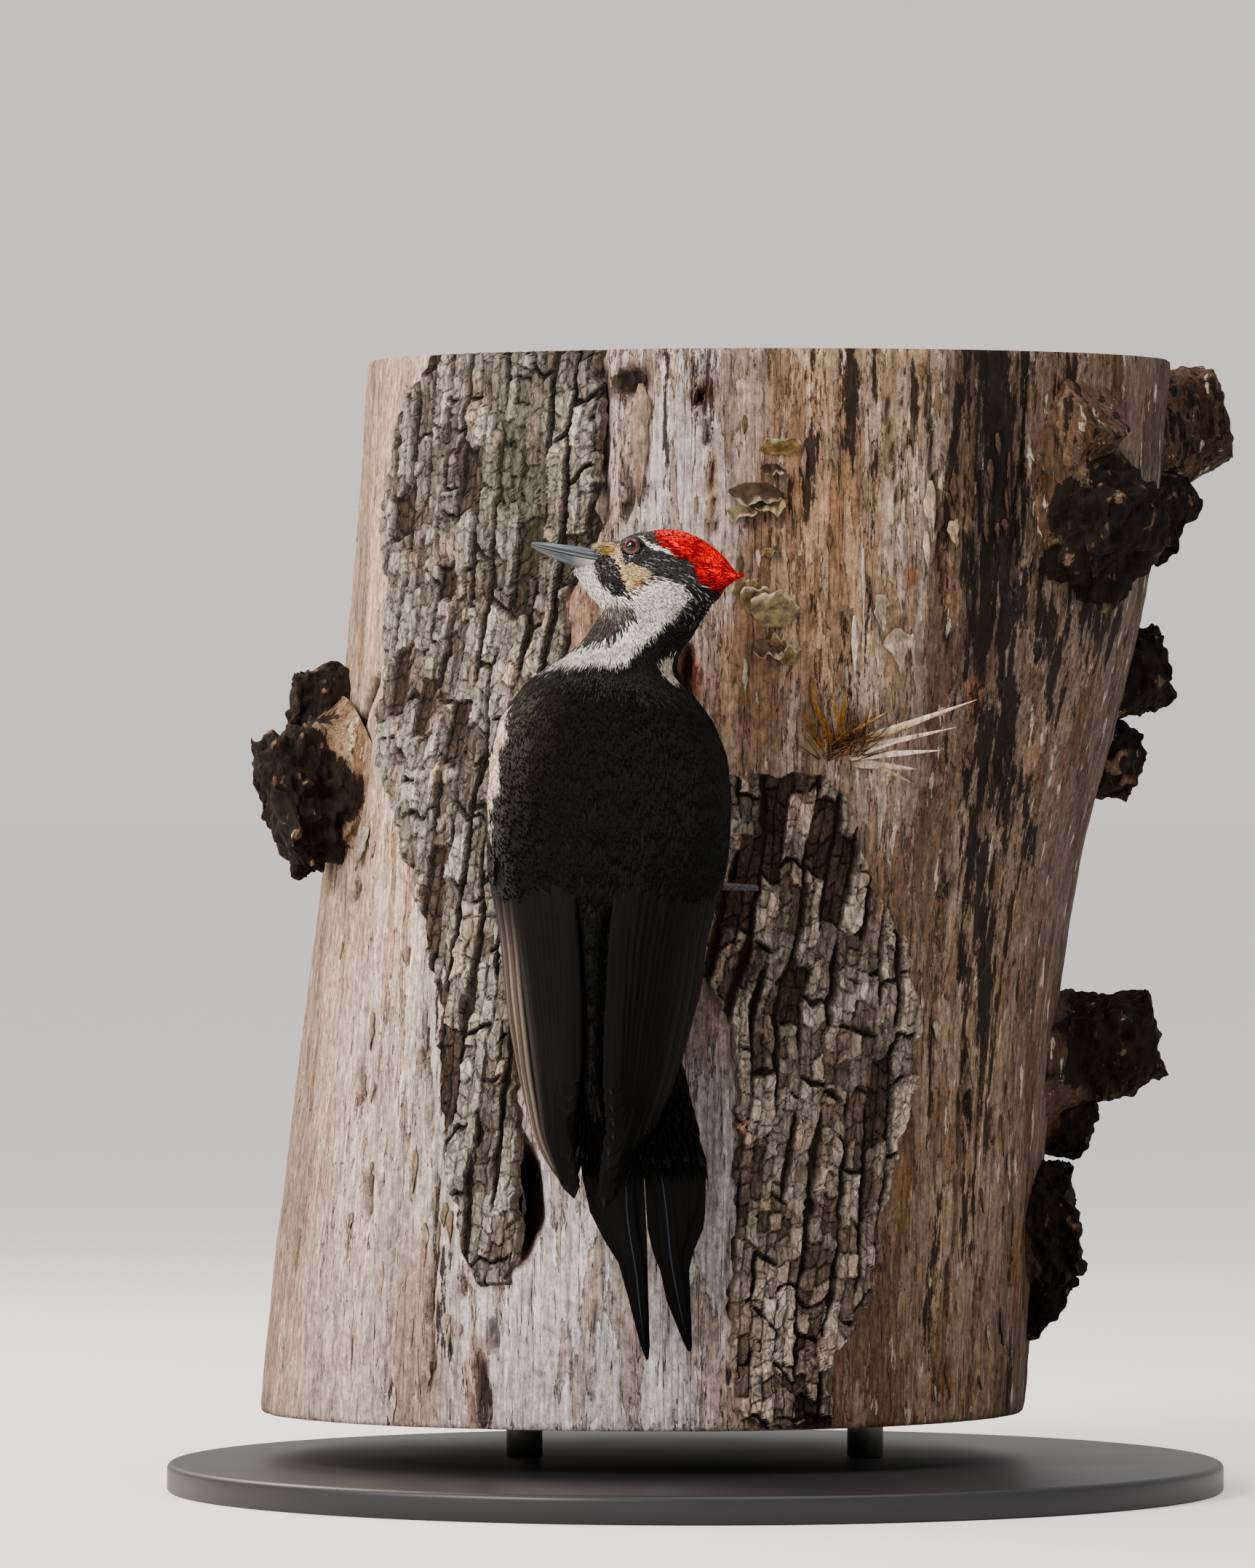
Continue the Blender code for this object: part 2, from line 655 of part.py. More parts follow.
def make_log(wood, rods):
    """A cut length of dead trunk with its branch stubs, sawn level at both ends and drilled for the rods.

    Returns the cutters that fit the bark to it.
    """
    around = 44
    rings = [
        [on_log(a, z) for a in steps(0, math.tau, around + 1)[:-1]] for z in steps(LOG_FOOT_Z, LOG_TOP_Z, 8)
    ]
    log = loft("perch_log", rings, wood)
    cutters = [swollen("guide_log", log, GAP)]
    for spec in STUBS:
        stub = make_stub(*spec)
        boolean(log, stub, "UNION")
        cutters.append(swollen(f"{stub.name}_fit", stub, 2 * GAP))
    for rod in rods:
        boolean(log, swollen(f"guide_bore_{rod.name}", rod, GAP), "DIFFERENCE")
    return cutters


def make_bark(name, limits, bottom, top, material, cutters):
    """A plate of bark left on the wood between two ragged edges, thinner at its rim."""
    across = 7
    upper, lower = [], []
    heights = steps(bottom, top, int((top - bottom) / 27) + 2)
    for row, z in enumerate(heights):
        ends_at = min(1.0, min(row, len(heights) - 1 - row) / 1.0)
        for k, share in enumerate(steps(0, 1, across)):
            low, high = limits(z)
            turn = low + (high - low) * share
            rim = min(1.0, min(k, across - 1 - k) / 1.0)
            ridges = 0.5 + 0.5 * math.sin(turn * 62 + z * 0.013 * MM + 0.8 * math.sin(z * 0.09))
            thick = BARK_THICK * (0.42 + 0.58 * rim * (0.45 + 0.55 * ends_at) * (0.62 + 0.38 * ridges))
            upper.append(on_log(turn, z * MM, thick))
            lower.append(on_log(turn, z * MM, -BARK_SUNK))
    faces = []
    rows = len(heights)
    size = rows * across
    for r in range(rows - 1):
        for k in range(across - 1):
            a = r * across + k
            faces.append((a, a + 1, a + across + 1, a + across))
            faces.append((size + a, size + a + across, size + a + across + 1, size + a + 1))
    rim = (
        [r * across for r in range(rows)]
        + [(rows - 1) * across + k for k in range(1, across)]
        + [r * across + across - 1 for r in range(rows - 2, -1, -1)]
        + [k for k in range(across - 2, 0, -1)]
    )
    for i, a in enumerate(rim):
        b = rim[(i + 1) % len(rim)]
        faces.append((a, b, size + b, size + a))
    made = solid(name, upper + lower, faces, material)
    for cutter in cutters:
        boolean(made, cutter, "DIFFERENCE")


def make_barks(material, cutters):
    """The three plates of bark that are still on the log, cut to fit the wood and the stubs."""

    def by_x(rows):
        def limits(z):
            low, high = (v * MM for v in between(rows, z))
            ragged = 1.6 * MM * math.sin(z * 0.31)
            return turn_at(low + ragged, z * MM), turn_at(high + ragged * 0.7, z * MM)

        return limits

    def at_back(z):
        sway = 0.10 * math.sin(z * 0.021)
        return 2.55 + sway + 0.04 * math.sin(z * 0.19), 3.65 + sway * 0.5 + 0.05 * math.sin(z * 0.13)

    make_bark("bark_left", by_x(BARK_LEFT), BARK_LEFT[0][0], BARK_LEFT[-1][0], material, cutters)
    make_bark("bark_right", by_x(BARK_RIGHT), BARK_RIGHT[0][0], BARK_RIGHT[-1][0], material, cutters)
    make_bark("bark_back", at_back, 70, 480, material, cutters)


def make_stand(board, steel):
    """A flat round base and two short rods up into the log. Returns the rods."""
    base = loft(
        "stand_base",
        [
            ellipse(Vector((0, 0, z)), EAST, NORTH, r, r, 48)
            for z, r in (
                (0, BASE_RADIUS),
                (BASE_THICK - 2 * MM, BASE_RADIUS),
                (BASE_THICK, BASE_RADIUS - 2 * MM),
            )
        ],
        board,
    )
    rods = []
    for name, x in (("left", -ROD_SPREAD), ("right", ROD_SPREAD)):
        rings = [
            ellipse(Vector((x, ROD_Y, z)), EAST, NORTH, ROD_RADIUS, ROD_RADIUS, 16)
            for z in (BASE_THICK + GAP, LOG_FOOT_Z + ROD_GRIP)
        ]
        rods.append(loft(f"stand_rod_{name}", rings, steel))
    return base, rods


def clear_scene():
    """Removes whatever the file opened with."""
    for thing in list(bpy.data.objects):
        bpy.data.objects.remove(thing)


def main():
    """Builds stand, perch and bird."""
    clear_scene()
    plumage = paint("black plumage", (0.012, 0.011, 0.010), 0.55)
    face = paint("face plumage", (0.20, 0.19, 0.17), 0.7)
    red = paint("red crest", (0.72, 0.02, 0.01), 0.6)
    horn = paint("bill horn", (0.16, 0.18, 0.21), 0.4)
    claw_horn = paint("claw horn", (0.06, 0.06, 0.065), 0.35)
    scaly = paint("scaly skin", (0.08, 0.08, 0.085), 0.55)
    eye_wet = paint("eye", (0.20, 0.06, 0.03), 0.08)
    wood = paint("weathered wood", (0.42, 0.34, 0.27), 0.85)
    bark = paint("bark", (0.20, 0.18, 0.16), 0.95)
    board = paint("painted board", (0.05, 0.05, 0.05), 0.5)
    steel = paint("steel rod", (0.45, 0.45, 0.46), 0.35, 1.0)

    _, rods = make_stand(board, steel)
    make_barks(bark, make_log(wood, rods))

    body = make_body(plumage)
    body_cutter = swollen("guide_body", body, GAP)
    make_neck(plumage, make_head(face, red, horn, eye_wet))
    make_wing("left", TIP_LEFT, -1, plumage)
    make_wing("right", TIP_RIGHT, 1, plumage)
    make_tail("left", TAIL_LEFT, -1, plumage)
    make_tail("right", TAIL_RIGHT, 1, plumage)
    make_leg("left", -1, FOOT_LEFT, TOES_LEFT, scaly, plumage, claw_horn, body_cutter)
    make_leg("right", 1, FOOT_RIGHT, TOES_RIGHT, scaly, plumage, claw_horn, body_cutter)


main()
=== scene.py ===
"""The looks of a life-size museum model: a female pileated woodpecker clinging to a
cut length of dead trunk, carried by a plain display stand. Sizes are in metres."""

import math
from functools import partial

import bmesh
import bpy
import numpy as np
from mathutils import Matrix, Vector
from mathutils.bvhtree import BVHTree


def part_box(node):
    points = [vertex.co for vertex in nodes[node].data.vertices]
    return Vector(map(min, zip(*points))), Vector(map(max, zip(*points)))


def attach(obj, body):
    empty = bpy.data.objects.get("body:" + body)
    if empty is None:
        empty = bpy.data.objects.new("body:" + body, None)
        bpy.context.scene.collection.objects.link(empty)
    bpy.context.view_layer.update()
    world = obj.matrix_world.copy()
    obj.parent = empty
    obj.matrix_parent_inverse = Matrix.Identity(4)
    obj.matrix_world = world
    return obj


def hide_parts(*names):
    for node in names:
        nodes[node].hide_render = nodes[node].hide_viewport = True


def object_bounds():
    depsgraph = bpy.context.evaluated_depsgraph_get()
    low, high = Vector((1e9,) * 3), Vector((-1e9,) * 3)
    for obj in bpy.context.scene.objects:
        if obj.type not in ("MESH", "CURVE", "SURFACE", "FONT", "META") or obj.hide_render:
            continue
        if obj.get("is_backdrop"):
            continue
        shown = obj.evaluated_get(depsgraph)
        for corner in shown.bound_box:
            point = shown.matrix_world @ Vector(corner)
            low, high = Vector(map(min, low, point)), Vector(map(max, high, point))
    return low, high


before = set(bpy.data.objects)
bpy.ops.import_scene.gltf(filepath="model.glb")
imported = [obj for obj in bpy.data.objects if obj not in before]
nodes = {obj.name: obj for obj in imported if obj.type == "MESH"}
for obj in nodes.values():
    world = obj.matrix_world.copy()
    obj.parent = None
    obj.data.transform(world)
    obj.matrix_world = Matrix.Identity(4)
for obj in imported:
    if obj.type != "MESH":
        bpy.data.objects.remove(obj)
cad_box = [list(corner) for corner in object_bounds()]
MM = 0.001
start = np.random.default_rng


# --- The bird's skin ---------------------------------------------------------
# The skin of a mounted bird: a thin hide drawn over a carved body, dark under the
# feathers. It is one closed surface over body, neck, head, folded wings and thighs,
# and lies inside their outline by the depth of the coat.

FLESH = ["body", "neck", "head", "crest", "wing_left", "wing_right",
         "primaries_left", "primaries_right", "thigh_left", "thigh_right"]
COAT_DEPTH = 1.2 * MM
RUMP_HEIGHT = 0.1995


def joined(names):
    """One mesh of the named CAD nodes, with the seams of its faces closed."""
    shape = bmesh.new()
    for name in names:
        shape.from_mesh(nodes[name].data)
    bmesh.ops.remove_doubles(shape, verts=shape.verts, dist=0.000002)
    return shape


def new_object(name, mesh):
    """An object of that mesh in the scene."""
    item = bpy.data.objects.new(name, mesh)
    bpy.context.scene.collection.objects.link(item)
    return item


def declare(item, slot, *stands_for):
    """Says which body the piece rides on and the CAD nodes it shows; its material slot is not used."""
    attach(item, "root")
    if stands_for:
        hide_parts(*stands_for)
    return item


def to_mesh(name, shape):
    """A new mesh of a worked shape, which is then freed."""
    mesh = bpy.data.meshes.new(name)
    shape.to_mesh(mesh)
    shape.free()
    return mesh


def applied(item, *modifiers):
    """Puts modifiers on an object, keeps their result as its mesh and removes them."""
    for kind, settings in modifiers:
        modifier = item.modifiers.new(kind.lower(), kind)
        for name, value in settings.items():
            setattr(modifier, name, value)
    graph = bpy.context.evaluated_depsgraph_get()
    old = item.data
    item.data = bpy.data.meshes.new_from_object(item.evaluated_get(graph), depsgraph=graph)
    item.data.name = item.name
    item.modifiers.clear()
    bpy.data.meshes.remove(old)
    return item


def column(items, field, kind=np.int32):
    """One field of a mesh's points, corners or faces, as whole numbers or in rows of three."""
    found = np.empty(len(items) * (3 if kind == np.float32 else 1), kind)
    items.foreach_get(field, found)
    return found.reshape(-1, 3).astype(float) if kind == np.float32 else found


def unit(vectors):
    """Vectors brought to length one."""
    return vectors / np.maximum(np.linalg.norm(vectors, axis=-1, keepdims=True), 1e-12)


def fade(value, low, high):
    """0 up to low, 1 from high, smooth between."""
    part = np.clip((np.asarray(value, float) - low) / (high - low), 0, 1)
    return part * part * (3 - 2 * part)


SEAM_SWELL = 0.35 * MM
skin = applied(new_object("skin", to_mesh("skin", joined(FLESH))),
               ("DISPLACE", {"strength": SEAM_SWELL, "mid_level": 0}),
               ("REMESH", {"mode": "VOXEL", "voxel_size": 1.3 * MM}),
               ("SMOOTH", {"factor": 0.5, "iterations": 9}),
               ("DISPLACE", {"strength": -SEAM_SWELL - COAT_DEPTH, "mid_level": 0}),
               ("SMOOTH", {"factor": 0.5, "iterations": 2}))
cut = bmesh.new()
cut.from_mesh(skin.data)
bmesh.ops.bisect_plane(cut, geom=cut.verts[:] + cut.edges[:] + cut.faces[:],
                       plane_co=(0, 0, RUMP_HEIGHT), plane_no=(0, 0, 1), clear_inner=True)
bmesh.ops.holes_fill(cut, edges=[e for e in cut.edges if e.is_boundary])
# Only what hangs together with the crown of the head is kept.
waiting = [max(cut.verts, key=lambda v: v.co.z)]
keep = set(waiting)
while waiting:
    vert = waiting.pop()
    found = {edge.other_vert(vert) for edge in vert.link_edges} - keep
    keep |= found
    waiting += found
bmesh.ops.delete(cut, geom=[v for v in cut.verts if v not in keep], context="VERTS")
bmesh.ops.triangulate(cut, faces=[f for f in cut.faces if len(f.verts) > 4])
cut.to_mesh(skin.data)
cut.free()
skin.data.shade_smooth()
skin.data.calc_loop_triangles()
skin_points = column(skin.data.vertices, "co", np.float32)
skin_normals = column(skin.data.vertices, "normal", np.float32)
skin_faces = np.array([face.vertices for face in skin.data.loop_triangles])
skin_edges = np.concatenate([skin_faces[:, (0, 1)], skin_faces[:, (1, 2)], skin_faces[:, (2, 0)]])


def evened(values, rounds):
    """Values at the skin's points, averaged with their neighbours' that many times."""
    count = np.bincount(skin_edges.ravel(), minlength=len(values)) + 1
    for _ in range(rounds):
        total = values.copy()
        for axis in range(values.shape[1]):
            for here, there in (skin_edges.T, skin_edges.T[::-1]):
                total[:, axis] += np.bincount(here, values[there, axis], len(values))
        values = total / count[:, None]
    return values


soft_normals = unit(evened(skin_normals, 6))

# The head's own axes, from its eyes: ahead along the bill, up, and to the bird's left.
left_eye = np.mean(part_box("eye_left"), axis=0)
right_eye = np.mean(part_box("eye_right"), axis=0)
HEAD_MID = (left_eye + right_eye) / 2
HEAD_LEFT = unit(left_eye - right_eye)
HEAD_LIFT = math.radians(10.7)
LEVEL_AHEAD = np.array([HEAD_LEFT[1], -HEAD_LEFT[0], 0])
HEAD_AHEAD = LEVEL_AHEAD * math.cos(HEAD_LIFT) + np.array([0, 0, math.sin(HEAD_LIFT)])
HEAD_UP = np.cross(HEAD_AHEAD, HEAD_LEFT)
HEAD_UP = HEAD_UP * np.sign(HEAD_UP[2])
DOWN = np.array([0, 0, -1.0])


def in_head(points):
    """How far ahead, up and left of the middle between the eyes, in millimetres."""
    away = (points - HEAD_MID) / MM
    return away @ HEAD_AHEAD, away @ HEAD_UP, away @ HEAD_LEFT


# The markings of the head and neck, each an outline in millimetres (ahead, up) of the
# point between the eyes, as the side of the head is seen from a little behind.
RED, TAN, OCHRE, BUFF, WHITE = "#e01a0e", "#bca883", "#b3914a", "#d8c39c", "#f0ede8"
MARKINGS = [
    ("throat", WHITE, 1.0,
     [(34, -14.5), (22, -10), (17.5, -16.5), (13, -21.5), (7, -25), (-1.5, -25), (-4, -28.5),
      (1.5, -32), (6.5, -35), (11, -38), (16, -36), (21.5, -30), (28.5, -22)]),
    ("foreneck", "#463d38", 1.5,
     [(12, -35), (3.5, -34.5), (-2, -33.5), (-1.5, -38), (1.5, -43.5), (5, -48), (13, -51),
      (21, -54), (29, -61), (38.5, -68), (31, -58), (24, -44), (19.5, -36)]),
    ("neck stripe", WHITE, 1.2,
     [(0.5, -23.5), (-3, -22), (-7, -16.5), (-11.5, -12.5), (-18, -12.5), (-23.5, -13),
      (-28, -18), (-27, -25), (-21, -34), (-14, -41.5), (-8, -49.5), (-4, -56.5), (1, -58),
      (11.5, -60), (19.5, -62), (27.5, -64), (37.5, -69.5), (38.5, -68), (29, -61.5), (21, -54),
      (13, -51), (5, -48), (1.5, -44), (-1.5, -38.5), (-3.5, -32), (-2, -28)]),
    ("mottled chin", "#6d6862", 1.6,
     [(11.5, -36), (10.5, -31), (4.5, -29), (-3, -29), (-2, -33.5), (2, -40), (5.5, -35)]),
    ("cheek", BUFF, 0.7,
     [(8.5, -10), (4, -8.5), (-2.5, -9), (-9, -10.5), (-8.5, -13.5), (-5, -17.5), (-2, -22),
      (1, -22), (3.5, -18.5), (7.5, -13.5)]),
    ("cheek spot", "#a9713c", 0.7, [(-1.5, -17), (-5, -15), (-4.5, -18), (-1.5, -20)]),
    ("moustache", "#1d1c1d", 0.8,
     [(20.5, -10.5), (16.5, -8.8), (11.5, -7.8), (8, -11.5), (5, -18), (0.5, -23.5), (3.5, -26),
      (8.5, -25), (13, -21.5), (17.5, -16.5)]),
    ("ear band", "#2b2b2d", 0.8,
     [(7.5, -5.5), (4.5, -3.5), (0.5, -4), (-7, 1), (-14.5, 0.5), (-21.5, -2), (-27, -3),
      (-33, -11), (-29, -14.5), (-22.5, -13.5), (-15, -12.5), (-9.5, -11.5), (-2.5, -8.5),
      (6, -9)]),
    ("red crest", RED, 0.6,
     [(-5, 9), (-8.5, 5), (-13.5, 0.8), (-19.5, -2), (-26, -2.5), (-29.5, -5.5), (-32, -11),
      (-38.5, -13.5), (-44.5, -14), (-60, -12), (-60, 6), (-34, 16), (-11, 16), (-5, 14)]),
    ("eye stripe", WHITE, 0.3,
     [(1.5, 4.6), (-1, 5.2), (-3.5, 3.2), (-9.5, 2), (-15.5, 0.5), (-18, -1), (-14.5, -1),
      (-9, 0), (-3, 1.5), (0.5, 3)]),
    # A painted reflection: a white glint in a crescent at the front and foot of the eye.
    ("eye painted glint", WHITE, 0.2,
     [(4.7, 2.2), (6.2, 1), (6, -2.2), (4.2, -5.2), (1.6, -6), (1.8, -5), (3.6, -4),
      (4.9, -1.8), (5, 0.6)]),
    ("nose tufts", TAN, 0.9,
     [(26, -3.5), (22, -3), (17, -1.5), (12, 0), (9.5, 0), (8, -4), (10.5, -6.5), (13.5, -7.2),
      (17, -7), (24, -6)]),
    ("nose spot", OCHRE, 0.9, [(16, -3.5), (12.5, -3), (11.5, -5.5), (13.5, -7), (16, -6)]),
    ("lores", "#d9c8a6", 0.8,
     [(12.5, -3.5), (8.5, -3), (7.2, -6.5), (5.5, -9.5), (7.5, -11.5), (11.5, -8.5)]),
    ("far neck patch", "#d6cdbd", 0.7,
     [(-19, -54), (-24.5, -46), (-26.5, -52.5), (-32, -59.5), (-28, -62), (-22, -59.5)]),
]
FOREHEAD, BACK_BLACK = "#38342f", "#0e0d0d"
SIDE_SLANT, SIDE_DIP = 0.263, -0.05


def linear(code):
    """The linear colour of an sRGB hex code."""
    parts = [int(code[i:i + 2], 16) / 255 for i in (1, 3, 5)]
    return [p / 12.92 if p <= 0.04045 else ((p + 0.055) / 1.055) ** 2.4 for p in parts]


def inside(outline, across, along):
    """Which points lie within a closed outline."""
    found = np.zeros(len(across), bool)
    ends = outline[1:] + outline[:1]
    for (x0, y0), (x1, y1) in zip(outline, ends):
        if y0 != y1:
            crosses = (y0 > along) != (y1 > along)
            found ^= crosses & (across < (x1 - x0) * (along - y0) / (y1 - y0) + x0)
    return found


def markings(points, stray, rng):
    """The coat's colour at points, and which of them are red or on the face."""
    ahead, up, left = in_head(points)
    across = ahead + SIDE_SLANT * np.abs(left)
    along = up + SIDE_DIP * np.abs(left)
    colour = np.tile(linear(BACK_BLACK), (len(points), 1))
    on_head = up > -30
    colour[on_head & (across > -9) & (up > -6)] = linear(FOREHEAD)
    red = np.zeros(len(points), bool)
    pale = np.zeros(len(points), bool)
    for name, code, softness, outline in MARKINGS:
        off_across, off_along = rng.normal(0, 1, (2, len(points))) * softness * stray
        hit = inside(outline, across + off_across, along + off_along)
        hit &= (left > -22) if name != "far neck patch" else (left > -2)
        colour[hit] = linear(code)
        red[hit] = name == "red crest"
        pale[hit] = name in ("throat", "neck stripe", "cheek", "far neck patch")
    return colour, red, pale


def lattice(cell, seed):
    """A random number from 0 to 1 for every whole-number cell."""
    mix = (cell[..., 0] * 73856093) ^ (cell[..., 1] * 19349663) ^ (cell[..., 2] * 83492791)
    mix = (mix + seed * 668265263) & 0xFFFFFFFF
    mix = ((mix ^ (mix >> 15)) * 2246822519) & 0xFFFFFFFF
    mix = ((mix ^ (mix >> 13)) * 3266489917) & 0xFFFFFFFF
    return ((mix ^ (mix >> 16)) & 0xFFFF) / 65535.0


def waver(points, size, seed):
    """Smooth random values from -1 to 1 that change over cells of that size."""
    at = points / (np.array(size) * MM)
    low = np.floor(at).astype(np.int64)
    part = at - low
    part = part * part * (3 - 2 * part)
    total = 0
    for corner in np.ndindex(2, 2, 2):
        weight = 1
        for axis in range(3):
            weight = weight * (part[..., axis] if corner[axis] else 1 - part[..., axis])
        total = total + weight * lattice(low + np.array(corner), seed)
    return total * 2 - 1



# Under the long quills the hide lies deeper, so that they cover it.
wing_shape = joined(["wing_left", "wing_right", "primaries_left", "primaries_right"])
wing_tree = BVHTree.FromBMesh(wing_shape)
wing_shape.free()


def quill_depth(points):
    """How much a place on the skin lies under the long quills of the wings."""
    low = 1 - fade(points[:, 2], 0.283, 0.297)
    gap = np.full(len(points), 1.0)
    for i in np.flatnonzero(low > 0):
        place, _, _, distance = wing_tree.find_nearest(points[i].tolist(), 0.01)
        gap[i] = 1.0 if place is None else distance
    return low * (1 - fade(gap, 1.6 * MM, 3.2 * MM))


QUILL_SINK = 1.6 * MM
skin_points = skin_points - soft_normals * QUILL_SINK * evened(quill_depth(skin_points)[:, None], 3)
skin.data.vertices.foreach_set("co", skin_points.astype(np.float32).ravel())
skin.data.update()
skin_tree = BVHTree.FromPolygons(skin_points.tolist(), skin_faces.tolist())

# The unwrap that skin and coat share: round the bird's spine, and along it.
SPINE = np.array([(-33, -168, 150), (-43, -177, 200), (-44, -185, 240), (-42, -187, 300),
                  (-42, -187, 350), (-42, -186, 385), (-35, -188, 410), (-24, -193, 430),
                  (-20, -196, 452), (-36, -192, 461), (-60, -187, 462)]) * MM
spine_steps = np.linalg.norm(np.diff(SPINE, axis=0), axis=1)
spine_reach = np.concatenate([[0], np.cumsum(spine_steps)])
FAR_SIDE = np.array([0.17, 0.985, 0])


def unwrap(points):
    """Round and along the spine, both from 0 to 1, for points on the bird."""
    best = np.full(len(points), 1e9)
    along = np.zeros(len(points))
    round_it = np.zeros(len(points))
    for i in range(len(SPINE) - 1):
        axis = SPINE[i + 1] - SPINE[i]
        part = np.clip((points - SPINE[i]) @ axis / (axis @ axis), 0, 1)
        out = points - SPINE[i] - part[:, None] * axis
        gap = (out ** 2).sum(1)
        near = gap < best
        best[near] = gap[near]
        along[near] = (spine_reach[i] + part * spine_steps[i])[near]
        axis = axis / spine_steps[i]
        zero = unit(-FAR_SIDE + (FAR_SIDE @ axis) * axis)
        side = np.cross(axis, zero)
        round_it[near] = np.arctan2(out @ side, out @ zero)[near]
    # A little of the distance from the spine tells apart the points of a flat end.
    return np.stack([round_it / (2 * math.pi) + 0.5,
                     0.9 * along / spine_reach[-1] + 0.3 * np.sqrt(best)], 1)


def set_colours(mesh, name, colours):
    """Stores a colour for each point."""
    layer = mesh.color_attributes.new(name, "FLOAT_COLOR", "POINT")
    full = np.concatenate([colours, np.ones((len(colours), 1))], 1)
    layer.data.foreach_set("color", full.astype(np.float32).ravel())


def set_map(mesh, corner_uv):
    """Stores the map named OFBake, one row for each corner."""
    layer = mesh.uv_layers.new(name="OFBake")
    layer.data.foreach_set("uv", corner_uv.astype(np.float32).ravel())


MAP_SIZE, MAP_CORNER = (0.88, 0.96), (0.01, 0.02)
SKIN_SHADE = 0.45
set_colours(skin.data, "plumage", markings(skin_points, 0, start(1))[0] * SKIN_SHADE)
skin_uv = unwrap(skin_points)[column(skin.data.loops, "vertex_index")]
# A face across the unwrap's seam is kept whole by moving its corners past the seam.
totals = column(skin.data.polygons, "loop_total")
highest = np.maximum.reduceat(skin_uv[:, 0], np.cumsum(totals) - totals)
skin_uv[np.repeat(highest, totals) - skin_uv[:, 0] > 0.5, 0] += 1
set_map(skin.data, skin_uv * MAP_SIZE + MAP_CORNER)
declare(skin, "black_plumage", *[n for n in FLESH if not n.startswith("primaries")])


# --- What the plumage is made of ------------------------------------------------
# Feather keratin: dark melanin on the body, red carotene dye in the crest and plain white
# keratin in the stripe. Barbs break up the gloss, so it is soft, with a faint sheen.

def feed(node, inputs):
    """Gives a node's inputs a value, a hex code's colour or another node's output."""
    for name, value in dict(inputs).items():
        if isinstance(value, bpy.types.Node):
            value = next(output for output in value.outputs if output.enabled)
        if isinstance(value, bpy.types.NodeSocket):
            node.id_data.links.new(value, node.inputs[name])
        else:
            node.inputs[name].default_value = (
                linear(value) + [1] if isinstance(value, str) else value)


def add_node(tree, kind, inputs=(), stops=(), **settings):
    """Adds a shader node with its settings, its inputs and its ramp's colours."""
    node = tree.nodes.new("ShaderNode" + kind)
    for name, value in settings.items():
        setattr(node, name, value)
    if stops:
        ramp = node.color_ramp.elements
        while len(ramp) < len(stops):
            ramp.new(0.5)
        for stop, (place, code) in zip(ramp, stops):
            stop.position = place
            stop.color = linear(code) + [1]
    feed(node, inputs if isinstance(inputs, dict) else enumerate(inputs))
    return node


def new_material(name, **inputs):
    """A material with one Principled shader, and the function that adds its nodes."""
    material = bpy.data.materials.new(name)
    material.use_nodes = True
    shader = material.node_tree.nodes["Principled BSDF"]
    feed(shader, {socket.replace("_", " "): value for socket, value in inputs.items()})
    return material, shader, partial(add_node, material.node_tree)


def dress(item, material):
    """Gives an object that one material."""
    item.data.materials.clear()
    item.data.materials.append(material)


def add_piece(mesh, slot, material, *stands_for):
    """Puts a mesh in the scene as a declared piece of that material."""
    dress(declare(new_object(mesh.name, mesh), slot, *stands_for), material)


KERATIN_IOR = 1.54


def plumage(name, roughness, gloss, sheen, sheen_code, contrast):
    """Feathers in the coat's stored colours, painted sheen and shade among them, mottled barb by barb.
    """
    material, shader, add = new_material(
        name, Roughness=roughness, IOR=KERATIN_IOR, Specular_IOR_Level=gloss,
        Sheen_Weight=sheen, Sheen_Roughness=0.45, Sheen_Tint=sheen_code)
    barbs = add("TexNoise", {"Vector": add("TexCoord").outputs["Object"], "Scale": 900,
                             "Detail": 3})
    mottle = add("MapRange", {"Value": barbs, "From Min": 0.3, "From Max": 0.7,
                              "To Min": 1 - contrast, "To Max": 1 + contrast})
    shade = add("VectorMath", {0: add("VertexColor", layer_name="plumage"), 3: mottle},
                operation="SCALE")
    bump = add("Bump", {"Height": barbs, "Strength": 0.25, "Distance": 0.2 * MM})
    feed(shader, {"Base Color": shade, "Normal": bump})
    return material


black_feather = plumage("black feather", 0.62, 0.12, 0.01, "#8c7f78", 0.15)
face_feather = plumage("face feather", 0.7, 0.22, 0.04, "#ffffff", 0.1)
red_feather = plumage("red feather", 0.5, 0.2, 0.03, "#ff8866", 0.12)
dress(skin, black_feather)


# --- The coat of small feathers ------------------------------------------------
# Contour feathers and bristles: thin keratin vanes set in the hide, overlapping and
# lying towards the tail. They are loose at the edge, longest on crest and mantle and
# only bristles round the eye and over the nostrils.

TUFT_STEPS = np.array([0, 0.34, 0.7, 1])
TUFT_WIDTHS = np.array([0.6, 1.0, 0.72])
TUFT_RISE = np.array([0, 0.7, 1.0, 0.85])


def on_skin(points):
    """The nearest places on the skin and the soft normals there."""
    places = np.empty_like(points)
    faces = np.empty(len(points), np.int32)
    for i, point in enumerate(points.tolist()):
        places[i], _, faces[i], _ = skin_tree.find_nearest(point)
    return places, unit(soft_normals[skin_faces[faces]].mean(1))


# The red's lower border along the head: how far back, and how far up it lies there.
RED_BORDER = np.array([(5, 8), (8.5, 5), (13.5, 0.8), (19.5, -2), (26, -2.5), (29.5, -5.5),
                       (32, -11), (38.5, -13.5), (44.5, -14)])
crest = nodes["crest"]
crest_tip = np.array(max((crest.matrix_world @ v.co for v in crest.data.vertices),
                         key=lambda point: point.x))


def look_up(table, at, k=1):
    """A column of a table, read at places of its first column and between them."""
    return np.interp(at, table[:, 0], table[:, k])


def above_border(ahead, up):
    """How far points of the head lie above the red's lower border."""
    return up - look_up(RED_BORDER, -ahead)


